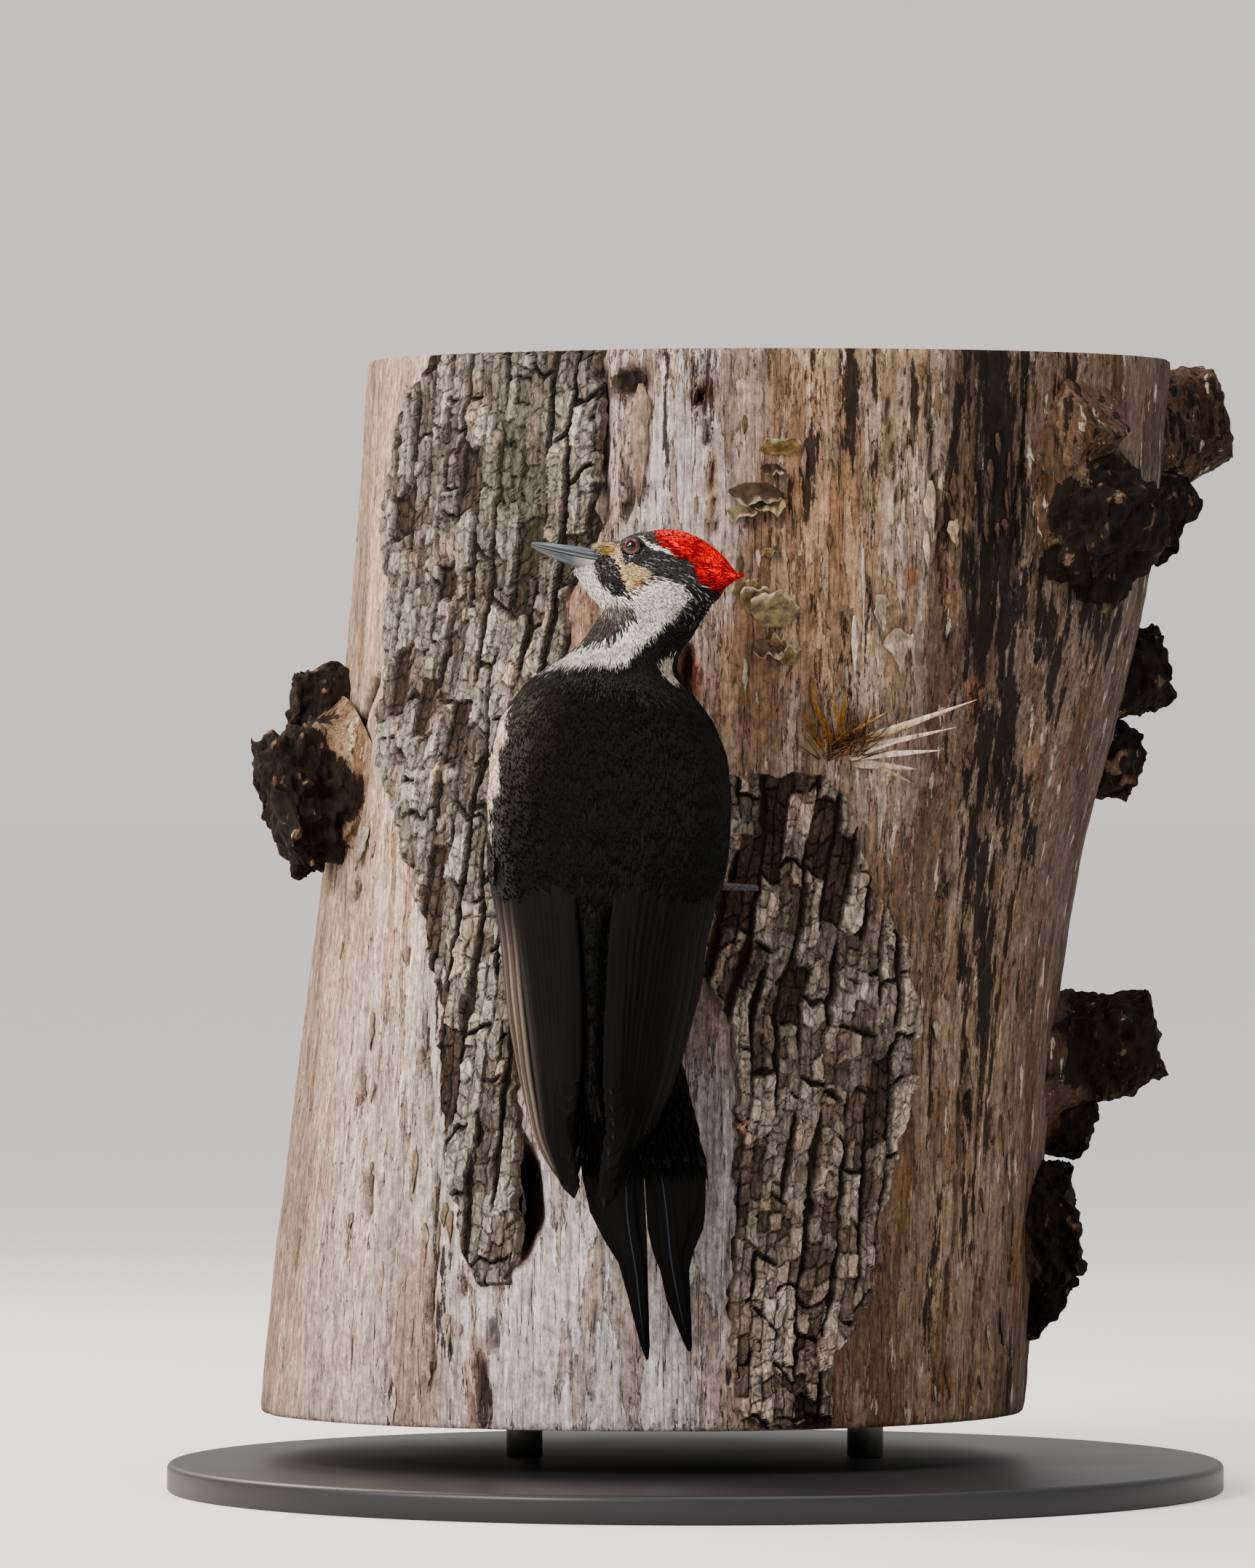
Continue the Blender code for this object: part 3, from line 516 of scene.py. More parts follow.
def flat_to(ways, normals):
    """Directions laid flat on the skin."""
    return unit(ways - (ways * normals).sum(1, keepdims=True) * normals)


BACK_MIDDLE = -0.042


def lie_of_coat(points, normals):
    """The way the feathers lie: back from the bill, down the neck and to the tail."""
    ahead, up, left = in_head(points)
    low = fade(-up, 8, 50)[:, None]
    way = -HEAD_AHEAD * (1 - low) + DOWN * (0.12 + 1.2 * low)
    crown = (fade(above_border(ahead, up), -2.5, 1) * fade(-ahead, -12, 4))[:, None]
    nape = (fade(-ahead, 20, 34) * fade(up, -26, -12))[:, None] * (1 - crown)
    chin = (fade(ahead, 8, 16) * fade(-up, 10, 16))[:, None]
    for part, own_way in ((crown, unit(crest_tip - points)),
                          (nape, unit(-HEAD_AHEAD * 0.7 + DOWN * 0.8)),
                          (chin, unit(-HEAD_AHEAD * 0.8 + DOWN))):
        way = way * (1 - part) + own_way * part
    shoulder = fade(points[:, 2], 0.365, 0.402) * fade(-points[:, 2], -0.425, -0.405)
    off_middle = points[:, 0] - BACK_MIDDLE
    side = np.sign(off_middle) * fade(np.abs(off_middle), 0.004, 0.02)
    way = way + (shoulder * side * 0.8)[:, None] * np.array([0.985, -0.17, 0])
    inward = -(points[:, 0] + 0.03) * 6 * fade(-points[:, 2], -0.34, -0.22)
    way[:, 0] += inward * (up < -60)
    way = flat_to(way, normals)
    for eye in (left_eye, right_eye):
        away = points - eye
        gap = np.linalg.norm(away, axis=1)
        out = unit(away)
        inwards = np.maximum(0, -(way * out).sum(1)) * (1 - fade(gap, 6 * MM, 11 * MM))
        way = way + out * (inwards * 1.25)[:, None]
    return flat_to(way, normals)


def scatter(rng, density):
    """Places on the skin, with so many to a square millimetre at each face's middle."""
    corners = skin_points[skin_faces]
    cross = np.cross(corners[:, 1] - corners[:, 0], corners[:, 2] - corners[:, 0])
    area = np.linalg.norm(cross, axis=1) / 2 / MM ** 2
    count = np.floor(area * density(corners.mean(1)) + rng.random(len(area))).astype(int)
    face = np.repeat(np.arange(len(area)), count)
    a, b = rng.random((2, len(face)))
    over = a + b > 1
    a[over], b[over] = 1 - a[over], 1 - b[over]
    weights = np.stack([1 - a - b, a, b], 1)[:, :, None]
    places = (corners[face] * weights).sum(1)
    return places, unit((soft_normals[skin_faces[face]] * weights).sum(1))


def turned(ways, normals, angles):
    """Directions turned about the normals by angles in radians."""
    side = np.cross(normals, ways)
    return ways * np.cos(angles)[:, None] + side * np.sin(angles)[:, None]


def tuft_points(middles, sides, ups, widths, thick):
    """The ten points of each tuft along its four middles: three rings of three, and the tip."""
    side = sides[:, :3] * (widths[:, None] * TUFT_WIDTHS / 2)[..., None]
    up = ups[:, :3] * thick[:, None, None] + 0 * side
    rings = middles[:, :3, None] + np.stack([side, up, -side], 2)
    return np.concatenate([rings.reshape(-1, 9, 3), middles[:, 3:]], 1)


def tuft_shapes(places, normals, ways, lengths, widths, lifts, roll):
    """The points of tufts that lie along the skin, held down where it bends away."""
    middles = np.empty((len(places), 4, 3))
    ups = np.empty((len(places), 4, 3))
    middles[:, 0] = places - normals * 0.45 * MM
    ups[:, 0] = normals
    for step in (1, 2, 3):
        reach = lengths * TUFT_STEPS[step]
        loose = places + ways * reach[:, None]
        held, ups[:, step] = on_skin(loose)
        gap = np.linalg.norm(held - loose, axis=1)
        hold = (1 - fade(gap / reach, 0.3, 0.65))[:, None]
        middles[:, step] = loose + (held - loose) * hold
        ups[:, step] = unit(ups[:, step] * hold + normals * (1 - hold))
        middles[:, step] += ups[:, step] * (lifts * TUFT_RISE[step])[:, None]
    along = unit(np.gradient(middles, axis=1))
    sides = unit(np.cross(along, ups))
    tilt = roll[:, None, None]
    sides, ups = (sides * np.cos(tilt) + ups * np.sin(tilt),
                  ups * np.cos(tilt) - sides * np.sin(tilt))
    return tuft_points(middles, sides, ups, widths, np.minimum(widths * 0.1, 0.12 * MM) + 0.06 * MM)


def grid_faces(rows, columns, around):
    """Triangles of a grid of points, closed round its columns or open."""
    last = columns if around else columns - 1
    i, j = np.meshgrid(np.arange(rows - 1), np.arange(last), indexing="ij")
    a = i * columns + j
    b = i * columns + (j + 1) % columns
    c, d = b + columns, a + columns
    return np.stack([a, b, c, a, c, d], -1).reshape(-1, 3)


TUFT_FACES = np.concatenate([[(2, 1, 0), (9, 7, 6), (9, 8, 7), (9, 6, 8)], grid_faces(3, 3, True)])
TUFT_ALONG = np.repeat(TUFT_STEPS, 3)[:10]
TUFT_ACROSS = np.array([-1, 0, 1] * 3 + [0])
PATCH = 0.003


def triangle_mesh(name, points, triangles):
    """A mesh from arrays of points and triangles."""
    mesh = bpy.data.meshes.new(name)
    mesh.vertices.add(len(points))
    mesh.vertices.foreach_set("co", points.astype(np.float32).ravel())
    mesh.loops.add(triangles.size)
    mesh.loops.foreach_set("vertex_index", triangles.astype(np.int32).ravel())
    mesh.polygons.add(len(triangles))
    mesh.polygons.foreach_set("loop_start", np.arange(0, triangles.size, 3, dtype=np.int32))
    mesh.update(calc_edges=True)
    mesh.shade_smooth()
    return mesh


def tuft_piece(name, slot, material, shape, colours, root_shade):
    """One coat piece of many tufts, each with its colour and its patch of the unwrap."""
    triangles = (TUFT_FACES + np.arange(len(shape))[:, None, None] * 10).reshape(-1, 3)
    mesh = triangle_mesh(name, shape.reshape(-1, 3), triangles)
    fall = root_shade + (1 - root_shade) * fade(TUFT_ALONG, 0.0, 0.6)
    set_colours(mesh, "plumage", (colours[:, None] * fall[:, None]).reshape(-1, 3))
    root_uv = unwrap(shape[:, 1]) * MAP_SIZE + MAP_CORNER
    patch = np.stack([TUFT_ACROSS * PATCH / 2, TUFT_ALONG * PATCH], 1)
    set_map(mesh, (root_uv[:, None] + patch).reshape(-1, 2)[triangles.ravel()])
    add_piece(mesh, slot, material)


def face_share(ahead, up):
    """How much a place on the head belongs to the face."""
    return fade(ahead, -14, 0) * fade(up, -24, -12)


def eye_gap(points):
    """How far points are from the nearer eye's middle."""
    return np.minimum(np.linalg.norm(points - left_eye, axis=1),
                      np.linalg.norm(points - right_eye, axis=1))


def head_density(points):
    """Tufts to a square millimetre on head and neck."""
    ahead, up, left = in_head(points)
    near_side = 0.5 + 0.5 * fade(left, -8, 3)
    _, is_red, is_pale = markings(points, 0, start(2))
    return fade(up, -72, -58) * near_side * (eye_gap(points) > 4.5 * MM) * (
        1.6 + 1.9 * face_share(ahead, up) + 2.6 * is_pale + 0.2 * is_red)


rng = start(11)
places, normals = scatter(rng, head_density)
ways = lie_of_coat(places, normals)
ahead, up, left = in_head(places)
face = face_share(ahead, up)
_, is_red, is_pale = markings(places, 0.6, rng)
near_eye = 1 - fade(eye_gap(places), 6.5 * MM, 12 * MM)
crest_root = fade(ahead + 0.35 * up, -14, -4)


def by_kind(red, pale, other, on_face=0.0):
    """A value for each tuft: for red ones, for pale and other ones, and its change on the face."""
    return np.where(is_red, red, np.where(is_pale, pale, other) + on_face * face)


lengths = by_kind(17 - 9 * crest_root, 7.5, 9, -4.4)
lengths = lengths * (1 - 0.45 * near_eye) * rng.uniform(0.75, 1.2, len(places))
to_tip = np.linalg.norm(places - crest_tip, axis=1) / MM
lengths = np.where(is_red, np.minimum(lengths, to_tip + 2), lengths)
under_tip = fade(-ahead, 38, 50) * fade(up, -28, -14) * ~is_red
lengths = lengths * (1 - 0.72 * under_tip) * MM
widths = by_kind(0.85, 0.44, 0.85, -0.12) * rng.uniform(0.7, 1.2, len(places)) * MM
lifts = by_kind(0.7, 0.85, 0.8, -0.35) * np.where(
    is_red, rng.uniform(0.85, 1.05, len(places)), rng.uniform(0.6, 1.15, len(places)))
lifts = lifts * (1 - 0.7 * under_tip) * MM
roll = rng.normal(0, 0.2, len(places)) * np.where(is_red, 0.3, 1)
stray = np.where(is_red, 0.02, np.where(is_pale, 0.15, 0.1)) + 0.06 * face
ways = turned(ways, normals, rng.normal(0, 1, len(places)) * stray)
tint, is_red, is_pale = markings(places + ways * lengths[:, None] * 0.55, 1, rng)
lot = rng.random(len(places))
tint = tint * (0.86 + 0.26 * rng.random(len(places)))[:, None]
tint[is_pale & (lot < 0.1) & (up > -30)] *= linear("#d9ccb4")
# Painted shade: the pale feathers grey towards the back of the cheek, and in soft clouds.
pale_painted_shade = 0.3 * fade(-ahead, 2, 24) * fade(up, -42, -24) + 0.22 * fade(
    waver(places, (5, 5, 5), 92), -0.2, 0.7)
tint[is_pale] *= (1 - pale_painted_shade[is_pale])[:, None]
grizzled = (tint.max(1) < 0.06) & (lot > 0.84) & (up > -30) & ~is_red
tint[grizzled] = np.array(linear("#8b8a8c")) * rng.uniform(0.3, 1, (int(grizzled.sum()), 1))
tip_ahead, tip_up, _ = in_head(crest_tip[None])
fan_angle = np.arctan2(up - tip_up, ahead - tip_ahead)
line = np.stack([fan_angle * 60, left * 0.6, ahead * 0.06], -1) * MM
strand = waver(line, (1.6, 1.6, 1.6), 90) + 0.5 * waver(line, (0.7, 0.7, 0.7), 91)
tint[is_red] *= (0.5 + 0.62 * fade(strand[is_red], -0.6, 0.3))[:, None]
tint[is_red] *= (0.4 + 0.6 * fade(above_border(ahead, up), -1, 5.5))[is_red, None]
tint[is_red & (lot > 0.95)] *= (1.1, 2.0, 1.7)
shape = tuft_shapes(places, normals, ways, lengths, widths, lifts, roll)
tuft_piece("coat_crest", "red_plumage", red_feather, shape[is_red], tint[is_red], 0.75)
near, above, front = left > 0, up > -22, ahead > -12
for name, chosen, shade in (("face", near & above & front, 0.6), ("cheek", near & above & ~front, 0.7),
                            ("neck", near & ~above, 0.7), ("far_face", ~near & above, 0.6),
                            ("far_neck", ~near & ~above, 0.7)):
    chosen = chosen & ~is_red
    tuft_piece("coat_" + name, "face_plumage", face_feather, shape[chosen], tint[chosen], shade)


# The bristles over the nostrils point forward along the bill.
def nose_density(points):
    """Bristles to a square millimetre at the root of the bill."""
    ahead, up, left = in_head(points)
    return 8.0 * (ahead > 8.5) * (ahead < 14) * (up > -6.2) * (up < 1)


rng = start(12)
places, normals = scatter(rng, nose_density)
ahead, up, left = in_head(places)
lengths = rng.uniform(6, 12, len(places)) * MM * (0.3 + 0.7 * fade(up, -6, -2.5))
widths = rng.uniform(0.28, 0.46, len(places)) * MM
inwards = np.sign(left) * fade(np.abs(left), 2, 6)
ways = unit(HEAD_AHEAD - 0.16 * HEAD_UP * (1 + fade(up, -3, 1))[:, None]
            - 0.13 * inwards[:, None] * HEAD_LEFT)
ways = unit(ways + rng.normal(0, 0.07, (len(places), 3)))
middles = places[:, None] + ways[:, None] * (lengths[:, None] * TUFT_STEPS)[..., None]
lifts = rng.uniform(0.3, 0.9, (len(places), 1)) * MM * [0, 0.7, 1, 1]
middles += normals[:, None] * lifts[..., None]
sides = unit(np.cross(ways, normals))
shape = tuft_points(middles, sides[:, None], normals[:, None], widths, 0 * widths + 0.12 * MM)
tint, _, _ = markings(places + ways * lengths[:, None] * 0.5, 0.6, rng)
tint = tint * np.where(rng.random((len(places), 1)) < 0.16, 0.3, 1) * rng.uniform(
    0.75, 1.15, (len(places), 1))
tuft_piece("coat_nose_bristles", "face_plumage", face_feather, shape, tint, 0.7)


# How far out the pale rim of the left wing's bend reaches inwards, at each level.
BEND_RIM = np.array([(318, -100), (330, -98.2), (350, -95.4), (370, -92.6), (393, -88.8),
                     (396, -90)]) * MM


# The body's contour feathers: each is a fan of soft-edged barbs from one root.
def body_density(points):
    """Contour feathers to a square millimetre on body and folded wings."""
    body = fade(-in_head(points)[1], 58, 66)
    above = points[:, 2] > RUMP_HEIGHT + 5 * MM
    return body * above * (0.08 + 0.045 * fade(points[:, 2], 0.36, 0.40)) * (
        quill_depth(points) < 0.6)


rng = start(13)
places, normals = scatter(rng, body_density)
ways = lie_of_coat(places, normals)
ways = turned(ways, normals, rng.normal(0, 0.06, len(places)))
height = fade(places[:, 2], 0.30, 0.40)
lengths = (23 - 7 * height) * rng.uniform(0.85, 1.15, len(places)) * MM
spans = (7 - 2.2 * height) * rng.uniform(0.85, 1.15, len(places)) * MM
lifts = (0.6 + 0.1 * height) * rng.uniform(0.96, 1.04, len(places)) * MM
BARBS = np.linspace(-1, 1, 6)
fans = []
for barb in BARBS:
    side = np.cross(normals, ways)
    root = places + side * (barb * spans * 0.26)[:, None]
    way = turned(ways, normals, barb * 0.17 + rng.normal(0, 0.04, len(places)))
    reach = lengths * (1 - 0.2 * barb ** 2) * rng.uniform(0.8, 1.15, len(places))
    fans.append((root, normals, way, reach, spans * 0.4, lifts * (1 - 0.2 * abs(barb)),
                 barb * 0.08 + rng.normal(0, 0.02, len(places))))
place, normal, way, length, width, lift, roll = [np.concatenate(part) for part in zip(*fans)]
tips = places + ways * lengths[:, None] * 0.6
tint, _, _ = markings(tips, 1, rng)
# Painted sheen: the tufts on the upper left shoulder, where the key lamp falls, are tinted a
# brown-grey highlight.
sheen = (fade(-tips[:, 0], 0.055, 0.1) * fade(tips[:, 2], 0.33, 0.39))[:, None]
tint = tint * (1 - sheen) + sheen * np.array(linear("#3a332e"))
tint = tint * rng.uniform(0.94, 1.06, (len(tint), 1))
on_rim = tips[:, 0] + rng.normal(0, 0.5 * MM, len(tips)) < look_up(BEND_RIM, tips[:, 2])
on_rim &= (tips[:, 2] > BEND_RIM[0, 0]) & (tips[:, 2] < BEND_RIM[-1, 0]) & (normals[:, 1] < -0.12)
tint[on_rim] = np.array(linear("#d3c0b1")) * rng.uniform(0.85, 1.1, (int(on_rim.sum()), 1))
tint = np.tile(tint, (len(BARBS), 1)) * rng.uniform(0.95, 1.05, (len(place), 1))
shape = tuft_shapes(place, normal, way, length, width, lift, roll)
back = (normal @ np.array([-0.174, -0.985, 0])) > 0.2
right = place[:, 0] > BACK_MIDDLE
for name, chosen in (("back_left", back & ~right), ("back_right", back & right),
                     ("breast_left", ~back & ~right), ("breast_right", ~back & right)):
    tuft_piece("coat_" + name, "black_plumage", black_feather, shape[chosen], tint[chosen], 0.92)
# --- The flight feathers of the wings --------------------------------------------
# Long stiff quills, each a flat vane on a shaft. Folded, they lie like a closed fan: the
# outer ones lowest, only their edges showing along the wing's outer side, worn brown and on
# the left wing paler with painted sheen.

VANE_RING = np.array([(-1, 0), (-0.66, 0.5), (-0.1, 0.75), (0, 1.05), (0.1, 0.75), (0.66, 0.5),
                      (1, 0), (0.66, -0.5), (0.1, -0.6), (0, -0.8), (-0.1, -0.6), (-0.66, -0.5)])
VANE_THICK = 0.34 * MM
VANE_STATIONS = 30


def tree_of(names):
    """A search tree of the surface of the named CAD nodes."""
    shape = joined(names)
    tree = BVHTree.FromBMesh(shape)
    shape.free()
    return tree


def slice_across(names, z):
    """How far across CAD nodes reach at a level: least and most, or nothing."""
    found = []
    for name in names:
        shape = joined([name])
        cut = bmesh.ops.bisect_plane(shape, geom=shape.verts[:] + shape.edges[:] + shape.faces[:],
                                     plane_co=(0, 0, z), plane_no=(0, 0, 1))["geom_cut"]
        found += [v.co.x for v in cut if isinstance(v, bmesh.types.BMVert)]
        shape.free()
    return [min(found), max(found)] if found else []


def spans(names, levels, side):
    """Rows of level, inner edge and outer edge of what lies on one side of the bird."""
    rows = [(z, *slice_across(names, float(z))[::-1 if side == "left" else 1]) for z in levels]
    return np.array([row for row in rows if len(row) == 3])


def evenly(line, *columns):
    """Moves each inner point of a line towards the middle of its neighbours."""
    at = (slice(1, -1), *columns)
    line[at] = ((line[:-2] + 2 * line[1:-1] + line[2:]) / 4)[(slice(None), *columns)]


def vane(middles, sides, ups, halves, thick=VANE_THICK, mirrored=False):
    """The points and triangles of one closed feather vane along a line of middles."""
    if mirrored:
        sides = -sides
    shape = (middles[:, None] + sides[:, None] * (VANE_RING[:, 0] * halves[:, None])[..., None]
             + ups[:, None] * (VANE_RING[:, 1] * thick)[None, :, None]).reshape(-1, 3)
    j = np.arange(1, len(VANE_RING) - 1)
    last = len(shape) - len(VANE_RING)
    faces = np.concatenate([grid_faces(len(middles), len(VANE_RING), True),
                            np.stack([0 * j, j + 1, j], 1),
                            np.stack([0 * j, j, j + 1], 1) + last])
    return shape, faces[:, ::-1] if mirrored else faces


def vanes_piece(name, vanes, *stands_for):
    """One piece of many vanes, each its shape and the colours of its parts."""
    points, triangles, colours, uv = [], [], [], []
    for i, ((shape, faces), base, outer, inner, shaft, rim) in enumerate(vanes):
        triangles.append(faces + sum(len(p) for p in points))
        points.append(shape)
        rows = len(shape) // len(VANE_RING)
        across = np.tile(VANE_RING[:, 0], rows)
        along = np.repeat(np.linspace(0, 1, rows), len(VANE_RING))
        edge_share = ((across > 0.6) * fade(along, 0.03, 0.45))[:, None]
        tint = base * (1 - edge_share) + outer * edge_share
        tint[across == -1] = inner
        tint[np.abs(across) < 0.05] = shaft
        worn = fade(along, 0.96, 1.0)[:, None]
        colours.append(tint * (1 - worn) + rim * worn)
        strip = (i + 0.1 + 0.4 * (across + 1)) / len(vanes)
        uv.append(np.stack([strip, 0.02 + 0.96 * along], 1))
    triangles = np.concatenate(triangles)
    mesh = triangle_mesh(name, np.concatenate(points), triangles)
    set_colours(mesh, "plumage", np.concatenate(colours))
    set_map(mesh, np.concatenate(uv)[triangles.ravel()])
    add_piece(mesh, "black_plumage", black_feather, *stands_for)


def laid_on(tree, x, z):
    """The place and normal of what lies at a place across and up, met from behind the bird."""
    return tree.ray_cast(Vector((x, -0.4, z)), Vector((0, 1, 0)))[:2]


def along_wing(tree, edges, spots, heights):
    """Middles, sides and ups of a line on the folded wing, from (share, level) spots."""
    middles, ups = [], []
    for (share, z), height in zip(spots, heights):
        level = np.clip(z, edges[0, 0], edges[-1, 0])
        inner, outer = look_up(edges, level), look_up(edges, level, 2)
        hit, normal = laid_on(tree, inner + (outer - inner) * share, level)
        if hit is not None:
            middles.append(hit + normal * height + Vector((0, 0, z - level)))
            ups.append(normal)
    middles, ups = np.array(middles), np.array(ups)
    ups = unit(ups * (1, 1, 0) + (0, -0.25, 0))
    for i in range(14):
        evenly(middles, slice(0, 3) if i < 3 else slice(1, 2))
        evenly(ups)
    ups[-5:] = ups[-6]
    sides = unit(np.cross(np.gradient(middles, axis=0), ups))
    return middles, sides, unit(np.cross(sides, np.gradient(middles, axis=0)))


# Share of the way from the wing's inner to its outer edge at the root and the tip, the
# levels of root and tip, and the half width in millimetres, for every quill.
PRIMARIES = [
    (0.965, 0.9, 318, 208, 3.0), (0.93, 0.88, 316, 184, 3.1), (0.885, 0.85, 315, 170, 3.2),
    (0.84, 0.82, 313, 163, 3.2), (0.795, 0.78, 312, 158.5, 3.2), (0.75, 0.7, 310, 159, 3.4),
    (0.7, 0.5, 309, 152.5, 4.2), (0.64, 0.4, 308, 150.6, 4.6)]
SECONDARIES = [
    (0.58, 0.38, 310, 153, 4.8), (0.52, 0.34, 306, 160, 5), (0.46, 0.3, 311, 168, 5.2),
    (0.4, 0.26, 305, 176, 5.4), (0.33, 0.22, 309, 184, 5.4), (0.26, 0.19, 304, 191, 5.4),
    (0.19, 0.16, 308, 198, 5.2), (0.12, 0.13, 303, 206, 5)]
SHORTER_ON_RIGHT = 4.5
QUILL_BLACK = np.array(linear("#0b0a0a"))
WORN_TIP = np.array(linear("#221d1a"))
# Edge colours of the left wing's quills: worn brown, brightened with painted sheen on the lit side.
WORN_EDGES_AND_SHEEN = ["#3b342e", "#5d534b", "#433b36", "#7c6d62", "#50483f", "#696057", "#332e2a",
              "#1e1b19"]
for side in ("left", "right"):
    parts = ["wing_" + side, "primaries_" + side]
    tree = tree_of(parts + ["body"])
    edges = spans(parts, np.arange(0.147, 0.39, 0.005), side)
    quills = []
    for i, (share0, share1, z0, z1, half) in enumerate(PRIMARIES + SECONDARIES):
        t = np.linspace(0, 1, VANE_STATIONS)
        share = share0 + (share1 - share0) * t ** 1.15
        drop = SHORTER_ON_RIGHT * (side == "right")
        spots = np.stack([share, (z0 + (z1 - drop - z0) * t) * MM], 1)
        rise = -0.9 + 0.12 * i - 2.6 * (1 - fade(t, 0.02, 0.13))
        middles, sides, ups = along_wing(tree, edges, spots, rise * MM)
        t = np.linspace(0, 1, len(middles))
        blunt = 0.05 if i > 5 else 0.16
        halves = half * MM * (1 - 0.25 * (i < 6) * fade(t, 0.5, 1)) * np.sqrt(
            np.clip(1 - ((t - 1 + blunt) / blunt).clip(0) ** 2, 0.004, 1))
        # Painted sheen with wear: the left wing's quill edges pale brown, the right wing's almost
        # black.
        outer = np.array(linear(WORN_EDGES_AND_SHEEN[i])) if i < 8 else QUILL_BLACK * 1.3
        if side == "right":
            outer = outer * 0.05 + QUILL_BLACK
        quills.append((vane(middles, sides, ups, halves, mirrored=side == "right"),
                       QUILL_BLACK, outer, QUILL_BLACK * 1.2, QUILL_BLACK * 1.3, WORN_TIP))
    vanes_piece("quills_" + side, quills, "primaries_" + side)


# --- The tail feathers -------------------------------------------------------------
# Stiff, propping quills with strong shafts. Their tips are worn to spikes on the bark, and
# the middle pair is the longest. They lie on the dome of the folded tail.

# Share of the way out at the root and the tip, the tip's level, and the half width.
TAIL_QUILLS = [(0.9, 0.86, 152, 3.6), (0.76, 0.74, 132, 3.9), (0.6, 0.6, 112, 4.1),
               (0.4, 0.5, 96, 4.2), (0.22, 0.5, None, 4.4)]
MIDDLE_SHAFT = np.array(linear("#39424e"))
for side in ("left", "right"):
    name = "tail_" + side
    tree = tree_of([name])
    low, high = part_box(name)
    levels = np.linspace(low[2] + 0.6 * MM, high[2] - 0.5 * MM, 40)
    edges = spans([name], levels, side)
    quills = []
    for i, (share0, share1, tip, half) in enumerate(TAIL_QUILLS):
        end = levels[0] if tip is None else tip * MM
        middles, ups, room = [], [], []
        for t in np.linspace(0, 1, VANE_STATIONS):
            z = high[2] - 0.6 * MM + (end - high[2] + 0.6 * MM) * t
            inner, outer = look_up(edges, z), look_up(edges, z, 2)
            share = share0 + (share1 - share0) * fade(t, 0, 1)
            hit, normal = laid_on(tree, inner + (outer - inner) * share, z)
            if hit is not None:
                middles.append(hit + normal * (0.1 + 0.13 * i) * MM)
                ups.append(normal)
                room.append(abs(outer - inner) / 2)
        middles, ups = np.array(middles), np.array(ups)
        for _ in range(3):
            evenly(middles)
            evenly(ups)
        sides = unit(np.cross(np.gradient(middles, axis=0), unit(ups)))
        ups = unit(np.cross(sides, np.gradient(middles, axis=0)))
        t = np.linspace(0, 1, len(middles))
        halves = np.minimum(half * MM, np.array(room)) * (1 - 0.97 * fade(t, 0.72, 1.02))
        quills.append((vane(middles, sides, ups, halves, mirrored=side == "right"), QUILL_BLACK,
                       QUILL_BLACK * 1.2, QUILL_BLACK,
                       MIDDLE_SHAFT if i > 3 else QUILL_BLACK * 1.3, QUILL_BLACK))
    vanes_piece("tail_quills_" + side, quills)


# --- The bill ------------------------------------------------------------------------
# A horn sheath over bone: a straight, chisel-tipped bill, slate blue with dark streaks
# along the ridge and cutting edges, the lower half paler.

BILL_ROWS = np.array([
    # ahead, ridge, mouth, lower edge, half width
    (52.1, -7.3, -8.5, -9.6, 0.9), (51.1, -6.8, -8.6, -10.1, 1.3), (46, -6.2, -9, -11.7, 2.4),
    (38.6, -5.7, -9.4, -13.4, 3.5), (32, -5.2, -9.6, -14.7, 4.4), (26.3, -4.9, -9.7, -15.6, 5.1),
    (20, -4.8, -9.7, -15.8, 5.6), (13, -5, -9.2, -14.6, 5.6)])[::-1]
# Each half's section: across, and the share of the way from the mouth line to its rim.
UPPER_SECTION = [
    (-1, 0.02), (-0.99, 0.16), (-0.9, 0.34), (-0.74, 0.52), (-0.56, 0.66), (-0.34, 0.8),
    (-0.16, 0.94), (0, 1), (0.16, 0.94), (0.34, 0.8), (0.56, 0.66), (0.74, 0.52), (0.9, 0.34),
    (0.99, 0.16), (1, 0.02), (0.5, 0.06), (-0.5, 0.06)]
LOWER_SECTION = [
    (-1, 0.04), (-0.5, 0.07), (0.5, 0.07), (1, 0.04), (0.98, 0.2), (0.88, 0.4), (0.7, 0.62),
    (0.48, 0.82), (0.22, 0.96), (0, 1), (-0.22, 0.96), (-0.48, 0.82), (-0.7, 0.62), (-0.88, 0.4),
    (-0.98, 0.2)]


def facing_out(mesh):
    """Turns the faces of a closed mesh outwards."""
    shape = bmesh.new()
    shape.from_mesh(mesh)
    bmesh.ops.recalc_face_normals(shape, faces=shape.faces)
    shape.to_mesh(mesh)
    shape.free()
    return mesh


def bill_half(name, section, node, rim_column, material):
    """One half of the bill, lofted along the rows between the mouth line and its rim."""
    ahead = np.concatenate([np.linspace(13, 46, 30), np.linspace(47, 52, 14)])[:, None]
    rim, mouth, half = (look_up(BILL_ROWS, ahead, k) for k in (rim_column, 2, 4))
    across, share = np.array(section).T
    up = mouth + (rim - mouth) * share
    points = HEAD_MID + (ahead[..., None] * HEAD_AHEAD + up[..., None] * HEAD_UP
                         + (across * half)[..., None] * HEAD_LEFT) * MM
    j = np.arange(1, len(section) - 1)
    last = (len(ahead) - 1) * len(section)
    faces = [grid_faces(len(ahead), len(section), True)[:, ::-1],
             np.stack([0 * j, j, j + 1], 1), np.stack([0 * j, j + 1, j], 1) + last]
    mesh = facing_out(triangle_mesh(name, points.reshape(-1, 3), np.concatenate(faces)))
    where = np.stack([share + 0 * ahead, (ahead - 13) / 39.0 + 0 * share, 0 * up], -1)
    set_colours(mesh, "horn", where.reshape(-1, 3))
    add_piece(mesh, "bill_horn", material, node)


